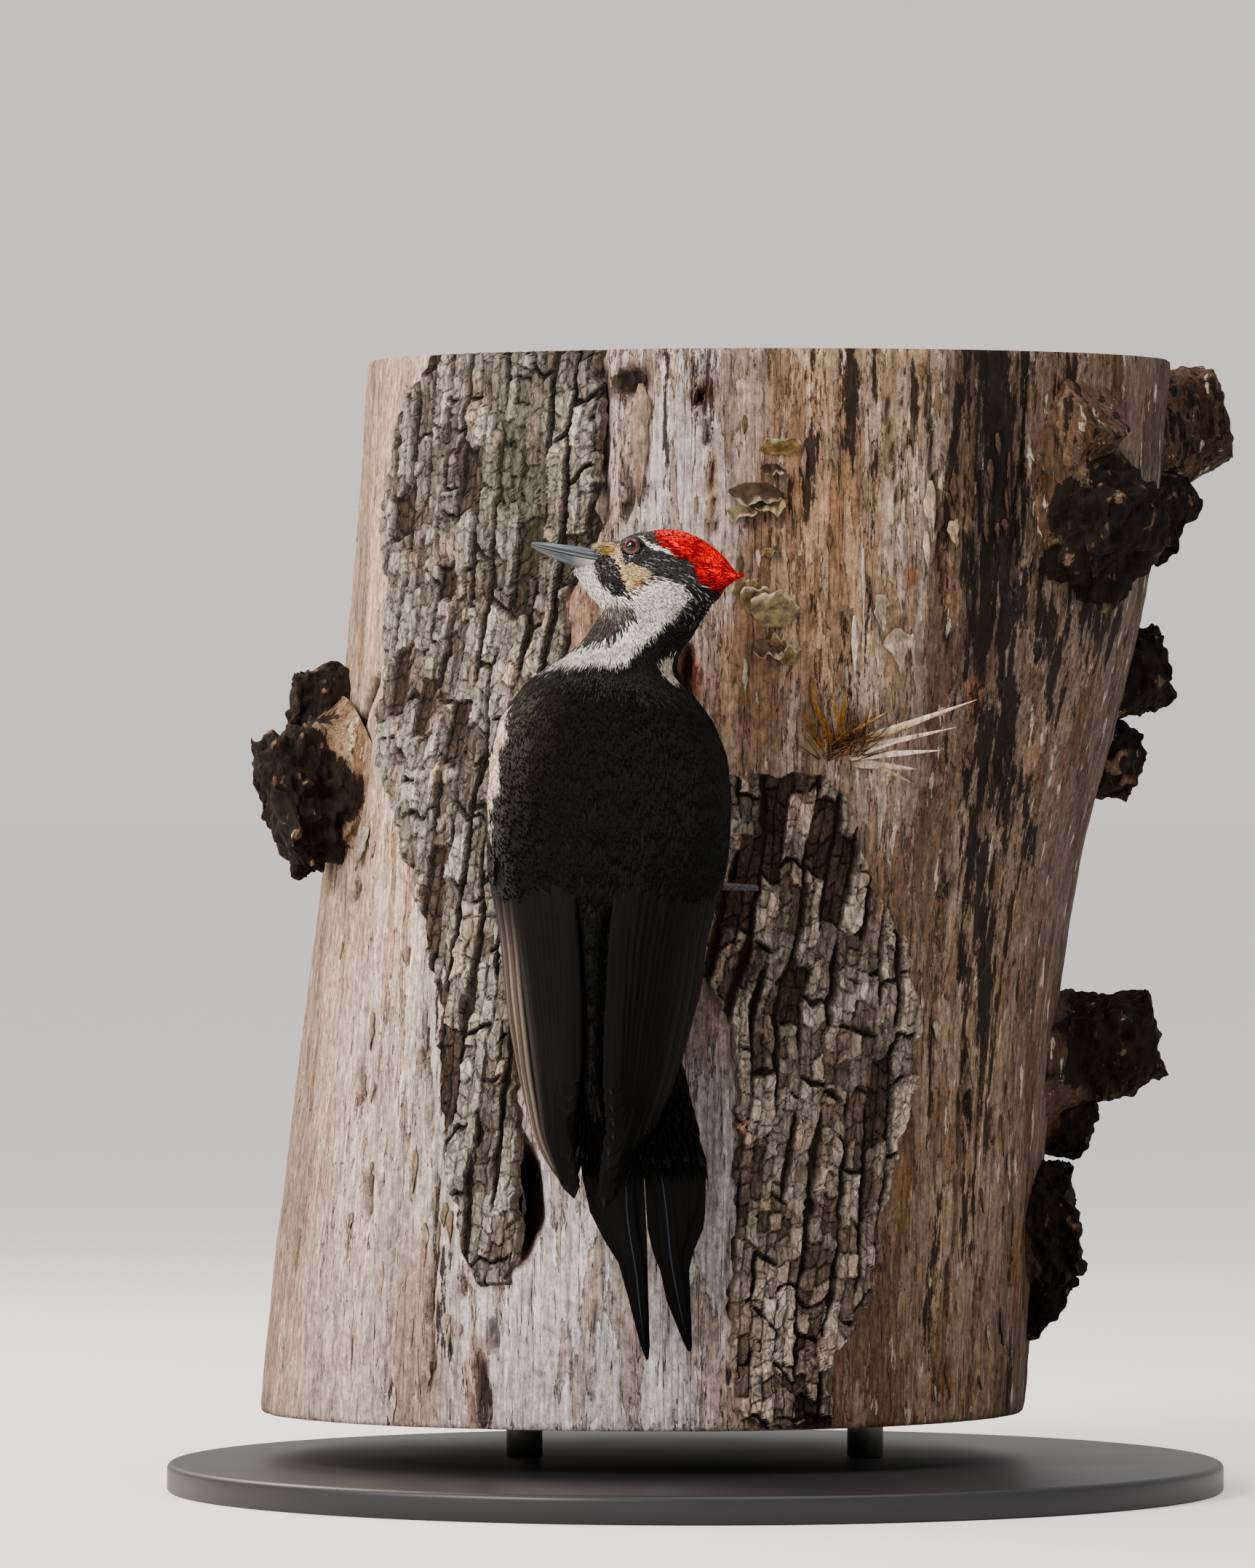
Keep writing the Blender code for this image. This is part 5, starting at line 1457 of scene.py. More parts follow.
def blocks(across, along, wide, tall, seed):
    """Splits a sheet in columns of blocks: gaps to the upright and level joints, a number."""
    u = across / wide
    column = np.floor(u).astype(int)
    here = u - column
    name = np.stack([column, column * 0, column * 0 + seed], -1)
    stretch = 0.65 + 0.8 * lattice(name, 1)
    tilt = (lattice(name, 5) - 0.5) * 0.5
    v = along / (tall * stretch) + 9 * lattice(name, 2) + tilt * here
    row = np.floor(v).astype(int)
    part = v - row
    name[..., 1] = row
    shift = (lattice(name, 3) - 0.5) * 0.5
    lower = part < 0.25 + shift
    row = np.where(lower, row - 1, row)
    name[..., 1] = row
    level = np.abs(part - 0.25 - shift)
    level = np.minimum(level, 1 - level) * tall * stretch
    upright = np.minimum(here, 1 - here) * wide
    return upright, level, lattice(name, 7), lattice(name, 11)


PLATE_WIDE, PLATE_TALL = 12.5 * MM, 30 * MM
CHIP_WIDE, CHIP_TALL = 6.2 * MM, 11 * MM


def bark_height(points, across, along, seed, rough):
    """How far bark stands out, how open its furrows are, and its plates' and chips' numbers."""
    across = (across + 5 * MM * waver(points, (24, 24, 40), seed)
              + 1.2 * MM * waver(points, (7, 7, 9), seed + 1)
              + 0.7 * MM * waver(points, (2.2, 2.2, 3), seed + 15))
    along = (along + 5 * MM * waver(points, (9, 9, 24), seed + 2)
             + 2 * MM * waver(points, (3.5, 3.5, 7), seed + 3))
    side, level, plate, lean = blocks(across, along, PLATE_WIDE, PLATE_TALL, seed)
    side2, level2, chip, tip = blocks(across + 31 * MM, along, CHIP_WIDE, CHIP_TALL, seed + 1)
    gap = waver(points, (11, 11, 42), seed + 6) + 0.5 * waver(points, (5, 5, 12), seed + 16)
    wide = np.clip(0.9 + 2.3 * gap, 0.15, 3.6) * MM
    furrow = 1 - fade(side, 0.35 * wide, wide + 0.5 * MM)
    furrow = furrow * fade(wide / MM, 0.2, 0.9)
    broken = waver(points, (8, 8, 8), seed + 7)
    gape = np.clip(0.5 + 2.2 * broken, 0.05, 2.6) * MM
    cross = (1 - fade(level, 0.4 * gape, gape + 0.5 * MM)) * fade(gape / MM, 0.1, 0.8)
    missing = (plate < 0.13) * fade(np.minimum(side, level), 0, 0.8 * MM)
    open_up = np.maximum(np.maximum(furrow, 0.9 * cross), 0.62 * missing)
    crack = np.maximum((1 - fade(side2, 0.1 * MM, 0.8 * MM)) * 0.8,
                       1 - fade(level2, 0.1 * MM, 0.9 * MM)) * 0.8
    height = 3.9 + 2.0 * (plate - 0.5) + 1.9 * (chip - 0.5) * rough
    height = height + (lean - 0.5) * 2.6 * np.clip(1 - 2 * side / PLATE_WIDE, 0, 1)
    height = height + (tip - 0.5) * 1.6 * np.clip(1 - 2 * level2 / CHIP_TALL, 0, 1)
    step = waver(points, (10, 10, 5), seed + 4) + 0.6 * waver(points, (3, 3, 2), seed + 5)
    height = height + 0.5 * step * rough
    height = height * (1 - 0.92 * open_up) - 1.1 * crack
    return np.clip(height, 0.25, 6.2), np.clip(open_up + 0.5 * crack, 0, 1), plate, chip


def grid_border(rows, columns):
    """The points round the border of a grid, in order."""
    return np.concatenate([np.arange(columns), columns * np.arange(1, rows) + columns - 1,
                           rows * columns - 2 - np.arange(columns - 1),
                           columns * np.arange(rows - 2, 0, -1)])


def bark_sheet(side, table, step, seed, rough, tones, furrow_shade_code):
    """One patch of bark between the left and right edges, given as turns at each height."""
    low, high = table[0, 0], table[-1, 0]
    rows = int((high - low) / step)
    around = LOG_RADIUS + 8 * MM
    widest = (table[:, 2] - table[:, 1]).max() * around
    columns = int(widest * 1.02 / step)
    z, part = np.meshgrid(np.linspace(low, high, rows), np.linspace(0, 1, columns), indexing="ij")
    ragged = np.stack([z * 0 + 0.3, z * 0, z], -1)
    left, right = (look_up(table, z, k)
                   + (2.6 * waver(ragged, (11, 11, 11), seed + 2 * k + 6)
                      + 1.8 * waver(ragged, (9, 9, 4), seed + 2 * k + 7)) * MM / around
                   for k in (1, 2))
    turn = left + (right - left) * part
    flat = log_point(turn, z, 0)
    height, furrow, plate, chip = bark_height(flat, turn * around, z, seed, rough)
    rim = np.minimum(part, 1 - part) * (right - left) * around
    ends = np.minimum(z - low, 1.0 if high > 0.5 else high - z)
    ends = ends + 4 * MM * (waver(flat, (8, 8, 8), seed + 15) - 0.7)
    lip = fade(np.minimum(rim, ends), 0.0, 2.2 * MM)
    height = -1.4 + (height + 1.4) * lip
    top = log_point(turn, z, height * MM)
    # The underside only needs its outline, as it is buried in the wood.
    n = rows * columns
    border = grid_border(rows, columns)
    sunk = log_point(turn.ravel()[border], z.ravel()[border], -2.4 * MM)
    below = n + np.arange(len(border))
    after = np.roll(below, -1)
    # The back: strips between the left and right border, level by level.
    left_side = np.concatenate([[0], np.arange(len(border) - 1, len(border) - rows + 1, -1),
                                [len(border) - rows + 1]])[:rows] + n
    right_side = columns - 1 + np.arange(rows) + n
    mesh = triangle_mesh("bark_plates_" + side, np.concatenate([top.reshape(-1, 3), sunk]),
                         np.concatenate([
                             grid_faces(rows, columns, False),
                             np.stack([border, below, after], 1),
                             np.stack([border, after, np.roll(border, -1)], 1),
                             np.stack([left_side[:-1], left_side[1:], right_side[1:]], 1),
                             np.stack([left_side[:-1], right_side[1:], right_side[:-1]], 1)]))
    colour = tone_of(fade(plate * 0.6 + chip * 0.4, 0, 1), tones)
    colour = colour * (1 + 0.22 * waver(flat, (7, 7, 10), seed + 12)
                       + 0.16 * waver(flat, (2.5, 2.5, 5), seed + 13))[..., None]
    # Painted light and shade: the higher plates lighter, the lower ones darker.
    colour = colour * (0.75 + fade(height, 2.6, 6)[..., None] * 0.5)
    brown = fade(waver(flat, (12, 12, 16), seed + 14), 0.3, 0.8) * 0.3
    brown = np.maximum(brown, 0.5 * (chip > 0.955))
    brown = np.maximum(brown, 0.6 * fade(-height, -2.6, -1.2))[..., None]
    colour = colour * (1 - brown) + colour * np.array([1.12, 0.86, 0.68]) * brown
    # Painted shade: furrows, gaps and missing plates darkened to near black.
    deep = (furrow * 0.9)[..., None]
    colour = colour * (1 - deep) + np.array(linear(furrow_shade_code)) * deep
    if side == "left":
        across, up = seen(flat)
        green = np.exp(-((across + 82) / 16) ** 2 - ((up - 500) / 45) ** 2)[..., None] * 0.55
        colour = colour * (1 - green) + np.array(linear("#4c5540")) * green
    # Painted shade: the bark's cut sides take 0.4 of their rim's colour.
    skirt_painted_shade = colour.reshape(-1, 3)[border] * 0.4
    set_colours(mesh, "bark", np.concatenate([colour.reshape(-1, 3), skirt_painted_shade]))
    mesh.shade_flat()
    add_piece(mesh, "bark", dry_bark, "bark_" + side)


def turned_table(table):
    """A table of left and right edges, as turns instead of places across."""
    z = table[:, 0]
    return np.stack([z, turn_at(table[:, 1], z), turn_at(table[:, 2], z)], 1)


# Dry bark in the colours given to its points, painted light and shade among them: fibres
# along it, fine splits across its plates, grit.
dry_bark, shader, add = new_material("dry furrowed bark", Roughness=0.92, IOR=1.45,
                                     Specular_IOR_Level=0.2)
shade = add("VertexColor", layer_name="bark")
place = add("TexCoord").outputs["Object"]
grit = grain_noise(add, place, 0.8, 330, 9, 0.75)
fibre = grain_noise(add, place, 0.16, 640, 5, 0.7)
for noise in (grit, fibre):
    tone = add("Math", (noise, 2.5, -0.32), operation="MULTIPLY_ADD")
    shade = add("VectorMath", {0: shade, 3: tone}, operation="SCALE")
warp = add("TexNoise", {"Vector": place, "Scale": 160, "Detail": 4}).outputs["Color"]
bent = add("VectorMath", (warp, (0.006, 0.006, 0.006), place), operation="MULTIPLY_ADD")
squat = add("Mapping", {"Vector": bent, "Scale": (1, 1, 0.55)})
cells = add("TexVoronoi", {"Vector": squat, "Scale": 170}, feature="DISTANCE_TO_EDGE")
hair = add("MapRange", {"Value": cells, "From Min": 0.015, "From Max": 0.07, "To Min": 1,
                        "To Max": 0})
broken = add("MapRange", {"Value": grit, "From Min": 0.42, "From Max": 0.55, "To Max": 0.6})
hair = add("Math", (hair, broken), operation="MULTIPLY")
shade = add("Mix", {"Factor": hair, "A": shade, "B": "#2b2521"}, data_type="RGBA")
rise = add("Math", (grit, fibre), operation="ADD")
rise = add("Math", (rise, hair), operation="SUBTRACT")
bump = add("Bump", {"Height": rise, "Strength": 0.9, "Distance": 1.0 * MM})
feed(shader, {"Base Color": shade, "Normal": bump})

BARK_BACK = np.array([
    # height, and the turns of the left and right edge
    (0.07, 2.75, 3.5), (0.11, 2.62, 3.6), (0.17, 2.58, 3.62), (0.24, 2.55, 3.6),
    (0.31, 2.6, 3.66), (0.38, 2.66, 3.6), (0.44, 2.74, 3.52), (0.48, 2.85, 3.4)])
GREY_BARK = [(0, "#69625a"), (0.3, "#827b72"), (0.65, "#928c83"), (1, "#a49e95")]
BROWN_BARK = [(0, "#5d5148"), (0.3, "#7b6f64"), (0.65, "#948a7f"), (1, "#a69c90")]
bark_sheet("left", turned_table(BARK_LEFT), 1.0 * MM, 50, 1.0, GREY_BARK, "#1a1613")
bark_sheet("right", turned_table(BARK_RIGHT), 0.95 * MM, 70, 1.3, BROWN_BARK, "#14100d")
bark_sheet("back", BARK_BACK, 1.5 * MM, 90, 1.1, GREY_BARK, "#1a1613")




# --- Knots and branch stubs ---------------------------------------------------------------
# Stumps of broken branches, with callus wood swollen round their feet and dark rotten
# ends of crumbly heartwood, painted paler on its raised chips and blacker in its pits.
# They are part of the trunk.

KNOTS = [
    # height, turn in degrees, root radius, end radius, how far out, rise, how rotten
    (352, -78, 44, 31, 38, -12, 1.0), (384, -84, 24, 17, 26, 4, 0.9),
    (486, 56, 41, 29, 28, -14, 1.0), (518, 52, 34, 20, 16, 12, 0.15),
    (524, 101, 33, 25, 37, 10, 0.2), (496, 98, 26, 18, 22, -14, 0.8),
    (404, 96, 25, 19, 22, 4, 0.9), (368, 98, 22, 17, 18, -6, 0.8),
    (212, 92, 38, 21, 54, 10, 0.75), (186, 94, 24, 15, 24, -8, 0.8),
    (130, 86, 38, 27, 20, 2, 0.95), (104, 88, 26, 18, 16, -12, 0.95)]
KNOT_RINGS, KNOT_SIDES, END_RINGS = 62, 112, 12
KNOT_DEPTH = 14


def knot(height, degrees, root, end, out, rise, rot, seed):
    """Points, triangles and colours of one lumpy stub."""
    turn = math.radians(degrees)
    way = np.array([math.sin(turn), -math.cos(turn), 0])
    along = unit(way * out + np.array([0, 0, rise]))
    base = log_point(np.array(turn), np.array(height * MM), -KNOT_DEPTH * MM)
    side = unit(np.cross(along, [0, 0, 1]))
    over = np.cross(side, along)
    steps = np.concatenate([np.linspace(0, 1, KNOT_RINGS - END_RINGS), np.ones(END_RINGS)])
    shrink = np.concatenate([np.ones(KNOT_RINGS - END_RINGS), np.linspace(0.94, 0.02, END_RINGS)])
    around = np.linspace(0, 2 * math.pi, KNOT_SIDES, endpoint=False)
    t, a = np.meshgrid(steps, around, indexing="ij")
    radius = (end + (root - end) * np.exp(-t * 3.2) + 3 * np.sin(np.pi * t) ** 2 * rot) * MM
    middle = base + along * (t * (out + KNOT_DEPTH) * MM)[..., None]
    flat = middle + (side * np.cos(a)[..., None] + over * np.sin(a)[..., None]) * (
        radius * shrink[:, None])[..., None]
    lump = waver(flat, (20, 20, 20), seed) * 0.2 * (0.4 + 0.6 * rot)
    rough = (waver(flat, (8, 8, 8), seed + 1) * 0.11 + waver(flat, (3.8, 3.8, 3.8), seed + 2) * 0.09
             + waver(flat, (2.2, 2.2, 2.2), seed + 6) * 0.05)
    swell = 1 + fade(t, 0.2, 0.5) * (lump + rough * (0.25 + 0.9 * rot))
    points = middle + (flat - middle) * swell[..., None]
    crumble = (waver(flat, (9, 9, 9), seed + 3) * 4.5
               + waver(flat, (3.5, 3.5, 3.5), seed + 4) * 2.2)
    end_part = fade(t, 0.8, 1.0) * (0.25 + 0.75 * rot)
    points = points + along * (end_part * (crumble - 2.0) * MM)[..., None]
    by_trunk = log_point(np.full(t.shape, turn), points[..., 2], 0)
    tone, _ = wood_look(np.where((t < 0.5)[..., None], by_trunk, points), np.zeros(t.shape))
    brown = tone * np.array([0.72, 0.62, 0.54])
    decay = fade(t + 0.3 * waver(flat, (12, 12, 12), seed + 5), 0.18, 0.42) * rot
    # Painted light and shade over the end's own dark rot: raised chips paler, the pits between them
    # blacker.
    chips = fade(rough + 0.3 * lump + 0.1 * waver(flat, (7, 7, 5), seed + 7), 0.09, 0.15)
    colour = brown * (1 - 0.45 * decay)[..., None] + np.array(
        linear("#9a8266")) * (0.35 * decay * chips)[..., None]
    wear = np.stack([0.2 + decay * (0.85 - 0.6 * chips), 0.35 + 0 * t, 0 * t], -1)
    return (points.reshape(-1, 3), grid_faces(KNOT_RINGS, KNOT_SIDES, True)[:, ::-1],
            colour.reshape(-1, 3), wear.reshape(-1, 3))


def gather(name, parts, material, *stands_for):
    """One piece of wood of several parts, each its points, triangles, colours and any wear."""
    points, triangles, colours, *wear = zip(*parts)
    shift = np.cumsum([0] + [len(part) for part in points])
    mesh = triangle_mesh(name, np.concatenate(points),
                         np.concatenate([part + s for part, s in zip(triangles, shift)]))
    set_colours(mesh, "wood", np.clip(np.concatenate(colours), 0, 1))
    if wear:
        set_colours(mesh, "wear", np.concatenate(wear[0]))
    add_piece(mesh, "weathered_wood", material, *stands_for)


gather("branch_stubs", [knot(*row, 200 + 10 * i) for i, row in enumerate(KNOTS)], dry_wood,
       "perch_log")


# --- Flakes, splinters and bracket fungus -------------------------------------------------
# Thin flakes of dry sapwood that peel from the trunk, splinters round a place where a
# branch tore out, and small tan brackets of a shelf fungus grown out of the dead wood.

def at_seen(across, height, out):
    """The point on the trunk that shows at that place from the front, in metres."""
    where = np.array([across * MM, 0, height * MM])
    x, _, z = where
    for _ in range(4):
        spot = log_point(turn_at(x, z), z, out * MM)
        scale = (spot[1] - CAMERA_SPOT[1]) / CAMERA_AWAY
        x, _, z = CAMERA_SPOT + (where - CAMERA_SPOT) * scale
    return spot, float(turn_at(x, z))


UPRIGHT = np.array([0, 0, 1])


def shell_part(x, z, wide, tall, out, up, wave, thick, code, rim_code, seed, narrow, bury=0):
    """A thin curved flap fixed at one end: its points, triangles and colours."""
    spot, turn = at_seen(x, z, -bury)
    rows, columns = (12, 15) if wide > 5.5 else (7, 5)
    way = np.array([math.sin(turn), -math.cos(turn), 0])
    side = np.array([math.cos(turn), math.sin(turn), 0])
    r, a = np.meshgrid(np.linspace(0, 1, rows), np.linspace(-1, 1, columns), indexing="ij")
    half = wide / 2 * (narrow + (1 - narrow) * np.sin(np.minimum(r * 1.35, 1) * math.pi / 2))
    if up < 0 and narrow > 0.5:
        rag = np.stack([r * 5 * MM, a * 2 * MM, a * 0 + seed * 7 * MM], -1)
        half = wide / 2 * np.sin(math.pi * (0.08 + 0.88 * r)) ** 0.7 * (
            1 + 0.6 * waver(rag, (1.2, 2, 2), seed))
    across = a * half
    rise = up * tall * r * (1 - 0.28 * a * a)
    lift = out * r ** 1.4 * (1 - 0.45 * a * a) + 0.3
    ruffle = wave * r * np.sin(a * 5.3 + seed) + 0.5 * wave * r * np.sin(a * 11 + 2 * seed)
    plain = (spot + side * (across * MM)[..., None] + way * ((lift + ruffle) * MM)[..., None]
             + UPRIGHT * ((rise + 0.6 * ruffle) * MM)[..., None])
    jag = waver(plain, (3.5, 3.5, 3.5), seed) * wave * 1.2 * r
    plain = plain + UPRIGHT * (jag * up * MM)[..., None]
    under = plain - way * (thick * MM)
    n = rows * columns
    front = grid_faces(rows, columns, False)
    border = grid_border(rows, columns)
    after = np.roll(border, -1)
    faces = np.concatenate([front, (front + n)[:, ::-1],
                            np.stack([border, border + n, after + n], 1),
                            np.stack([border, after + n, after], 1)])[:, ::up]
    base, edge = np.array(linear(code)), np.array(linear(rim_code))
    share = fade(r + 0.12 * waver(plain, (3, 3, 3), seed + 1), 0.82, 1.0)[..., None]
    bands = (0.86 + 0.14 * np.sin(r * 19 + waver(plain, (5, 5, 5), seed + 2) * 2))[..., None]
    colour = base * bands * (1 - share) * 0.78 + edge * share * 0.72
    # Painted shade: the underside takes 0.8 of the top's colour.
    colour = np.concatenate([colour.reshape(-1, 3), colour.reshape(-1, 3) * 0.8])
    return np.concatenate([plain.reshape(-1, 3), under.reshape(-1, 3)]), faces, colour


BRACKETS = [
    # across, up, width, height, out, which way the rim points, colour
    (39, 506, 20, 8, 8, 1, "#8d7547"), (35, 502, 12, 5, 6, -1, "#4b3a24"),
    (27, 493, 26, 10, 7, -1, "#4a3a22"), (21, 482, 15, 6, 6, -1, "#93835f"),
    (34, 487, 15, 9, 9, -1, "#9f8a60"), (33, 462, 8, 4, 6, -1, "#8a7650"),
    (22, 438, 13, 9, 7, 1, "#97835a"), (28, 430, 17, 13, 6, 1, "#857150"),
    (36, 424, 24, 17, 11, 1, "#958562"), (33, 419, 15, 10, 6, -1, "#5d4c33"),
    (43, 406, 11, 9, 6, 1, "#8c7853"), (37, 413, 9, 7, 5, 1, "#94805a")]
FUNGUS_RIM = "#cdbf9f"
fungus, shader, add = new_material("leathery bracket fungus", Roughness=0.75, IOR=1.45)
felt = add("TexNoise", {"Vector": add("TexCoord").outputs["Object"], "Scale": 260, "Detail": 8,
                        "Roughness": 0.7})
felt = add("Math", (felt, 3, -0.65), operation="MULTIPLY_ADD")
feed(shader, {"Base Color": add(
    "VectorMath", {0: add("VertexColor", layer_name="wood"), 3: felt}, operation="SCALE")})
gather("bracket_fungus", [shell_part(*row[:6], 1.7, 0.8, row[6], FUNGUS_RIM, 300 + i, 0.4)
                          for i, row in enumerate(BRACKETS)], fungus)

BIG_FLAKES = [
    # across, top, width, length, how far the loose end stands out, colour
    (95, 424, 12, 24, 4.5, "#b3a692"), (110, 494, 6.5, 30, 2.5, "#cfc0a2"),
    (96, 474, 4, 24, 3, "#c9c0b2"), (87, 440, 9, 19, 3, "#a89c8b"),
    (78, 462, 2.2, 42, 2, "#e0d4c0"), (74, 430, 3, 36, 2, "#ded3c2"),
    (121, 475, 6, 13, 3.5, "#b5a284"), (108, 470, 4, 20, 2.5, "#d7cab4"),
    (-20, 372, 6, 12, 6, "#c9c2b6"), (-170, 388, 9, 40, 5, "#b5a592"),
    (-166, 372, 6, 24, 7, "#8d8074"), (-175, 372, 6, 20, 8, "#9a8a78"),
    (-27, 540, 9, 60, 4, "#a5917c"), (-16, 470, 4, 40, 2.5, "#b9a38b"),
    (-158, 330, 12, 22, 6, "#b7aea2"), (55, 400, 5, 20, 3, "#a8845a")]
TAN_FLAKES = ("#a8977f", "#96836c", "#80664a", "#b8ac99", "#6d5b48")
PALE_FLAKES = ("#cbbfae", "#b3a38f", "#9d8b77")
STAINED_FLAKE = "#6b5546"
rng = start(31)
flakes = list(BIG_FLAKES)
for _ in range(120):
    x, z = rng.uniform(20, 150), rng.uniform(60, 552)
    if 12 < x < 112 and z < 345:
        continue
    size = (rng.uniform(1.2, 4), rng.uniform(6, 22), rng.uniform(0.4, 1.6))
    in_stain = 118 < x < 168 and z > 320
    flakes.append((x, z, *size, STAINED_FLAKE if in_stain else TAN_FLAKES[rng.integers(5)]))
for _ in range(50):
    x, z = rng.uniform(-170, -112), rng.uniform(60, 552)
    flakes.append((x, z, rng.uniform(1.2, 4), rng.uniform(6, 26), rng.uniform(0.4, 1.5),
                   PALE_FLAKES[rng.integers(3)]))
gather("loose_flakes", [
    shell_part(x, z, wide, tall, out, -1, min(0.5, wide / 8), 0.4, code, code, 400 + i, 0.6, 0.3)
    for i, (x, z, wide, tall, out, code) in enumerate(flakes)],
    weathered("dry flakes", 0.85, 0, 0.3))

# The torn-out branch: root and tip of each splinter as seen, its width, and how far the
# tip stands off the wood.
SPLINTERS = [
    (72, 369, 124, 390, 6, 14, "#e2d3bb"), (73, 366, 112, 377, 5, 20, "#d9c8ae"),
    (72, 363, 107, 366, 6, 16, "#e6dac6"), (75, 370, 96, 379, 4, 22, "#c9b08c"),
    (74, 360, 98, 357, 7, 12, "#cdbfab"), (78, 362, 95, 350, 4, 15, "#b79f80"),
    (68, 372, 84, 385, 3, 18, "#c99a5c"), (70, 366, 60, 395, 3.5, 10, "#b8813f"),
    (64, 368, 52, 392, 5, 7, "#a87236"), (66, 370, 68, 398, 4, 9, "#bd8845"),
    (60, 366, 47, 386, 5, 5, "#94633a"), (76, 364, 90, 372, 3, 24, "#e9dfce")]
THIN_SPLINTERS = ("#7d5a3c", "#936c46", "#54402c", "#a98558")
rng = start(32)
splinters = list(SPLINTERS)
for _ in range(70):
    x, z = rng.uniform(58, 78), rng.uniform(360, 372)
    heading = rng.uniform(0.1, 2.6)
    length = rng.uniform(9, 24)
    splinters.append((x, z, x + length * math.cos(heading), z + length * math.sin(heading),
                      rng.uniform(0.5, 1.4), rng.uniform(4, 18),
                      THIN_SPLINTERS[rng.integers(4)]))
parts = []
for x0, z0, x1, z1, wide, out, code in splinters:
    root, turn = at_seen(x0, z0, -1)
    tip, _ = at_seen(x1, z1, out)
    t = np.linspace(0, 1, 9)
    bend = np.array([math.sin(turn), -math.cos(turn), 0])
    line = root + (tip - root) * t[:, None] + bend * (np.sin(t * math.pi) * 1.5 * MM)[:, None]
    way = unit(np.gradient(line, axis=0))
    sides = unit(np.cross(way, bend))
    halves = wide * 0.36 * MM * (1 - 0.95 * t ** 1.6)
    thick = 0.3 * MM + wide * 0.06 * MM
    shape, faces = vane(line, sides, unit(np.cross(sides, way)), halves, thick)
    parts.append((shape, faces, np.tile(linear(code), (len(shape), 1))))
gather("torn_splinters", parts, weathered("torn dry wood", 0.8, 0, 0.2))


# --- Tail coverts and rump --------------------------------------------------------------
# The short feathers over and under the root of the tail, which close the join between
# the rump and the stiff tail quills.

tail_tree = tree_of(["tail_left", "tail_right"])
TAIL_TOP = 0.197
# The seen right and left edges of the coverts, at each level.
COVERT_EDGES = np.array([(168, -54, 0.8), (180, -56, -2), (193, -58, -5), (204, -60, -7.4),
                         (212, -60, -9), (222, -60, -9.6)]) * MM
rng = start(14)
fans = []
for face_way in (1, -1):
    for z in np.arange(0.178, 0.219, 0.0028):
        low, high = look_up(COVERT_EDGES, z), look_up(COVERT_EDGES, z, 2)
        slope = (high - look_up(COVERT_EDGES, z - 0.012, 2)) / 0.012
        for x in np.arange(low + 0.4 * MM, high, 1.5 * MM):
            x = min(x + rng.uniform(-0.7, 0.7) * MM, high - 0.3 * MM)
            across = x - 0.2 * (z - TAIL_TOP) if z > TAIL_TOP else x
            at = Vector((np.clip(across, -0.058, 0.001), -0.168 - 0.2 * face_way,
                         min(z, TAIL_TOP)))
            hit, normal, _, _ = tail_tree.ray_cast(at, Vector((0, face_way, 0)))
            if hit is None:
                continue
            place = np.array([x, hit.y - face_way * (0.0004 + 0.22 * max(0.0, z - TAIL_TOP)),
                              z + rng.uniform(-1, 1) * MM])
            share = fade(x, -0.03, high)
            for barb in BARBS[::2] * 0.8 + 0.16:
                spin = barb * 0.2 + rng.normal(0, 0.04)
                way = unit(np.array([-spin - slope * share, 0.06 * face_way, -1]))
                reach = rng.uniform(5, 24) if z < 0.186 else rng.uniform(13, 19)
                fans.append((place - np.array([barb * 1.5 * MM, 0, 0]), np.array(normal), way,
                             reach * MM * (1 - 0.15 * barb ** 2)))
place, normal, way, length = (np.array(part) for part in zip(*fans))
middles = place[:, None] + way[:, None] * (length[:, None] * TUFT_STEPS)[..., None]
middles = middles + normal[:, None] * (np.array([-0.3, 0.5, 0.7, 0.5]) * MM)[None, :, None]
sides = unit(np.cross(way, normal))
shape = tuft_points(middles, sides[:, None], normal[:, None], np.full(len(place), 3 * MM),
                    np.full(len(place), 0.3 * MM))
tint = QUILL_BLACK * rng.uniform(0.8, 1.1, (len(place), 1))
tuft_piece("coat_tail_coverts", "black_plumage", black_feather, shape, tint, 0.7)


# --- The display stand ---------------------------------------------------------------------
# A round board, turned, primed and sprayed satin black, with two brushed steel rods let
# into it that carry the log clear of the board.

def lathed(name, profile, sides, centre):
    """A closed turned shape from (radius, height) rows."""
    turn = np.linspace(0, 2 * math.pi, sides, endpoint=False)
    rings = [np.stack([centre[0] + r * np.cos(turn), centre[1] + r * np.sin(turn),
                       turn * 0 + z], 1) for r, z in profile]
    ends = [(*centre, profile[0][1]), (*centre, profile[-1][1])]
    here = np.arange(sides)
    after = np.roll(here, -1)
    n = sides * len(profile)
    faces = [grid_faces(len(profile), sides, True), np.stack([after, here, 0 * here + n], 1),
             np.stack([here + n - sides, after + n - sides, 0 * here + n + 1], 1)]
    return triangle_mesh(name, np.concatenate(rings + [ends]), np.concatenate(faces))


low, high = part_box("stand_base")
R, top = (high.x - low.x) / 2, high.z
EDGE = 3 * MM
profile = [(R - 1.2 * MM, 0), (R, 1.2 * MM), (R, top - EDGE)]
profile += [(R - EDGE + EDGE * math.cos(t), top - EDGE + EDGE * math.sin(t))
            for t in np.linspace(0.2, math.pi / 2, 7)]
# Sprayed satin paint, a little duller in clouds.
satin, shader, add = new_material("satin black sprayed board", Base_Color="#26262a",
                                  Roughness=0.42, IOR=1.5)
haze = add("TexNoise", {"Vector": add("TexCoord").outputs["Object"], "Scale": 9, "Detail": 4})
feed(shader, {"Roughness": add("MapRange", {"Value": haze, "To Min": 0.36, "To Max": 0.5})})
add_piece(lathed("stand_board", profile, 240, (0, 0)), "stand_board", satin, "stand_base")
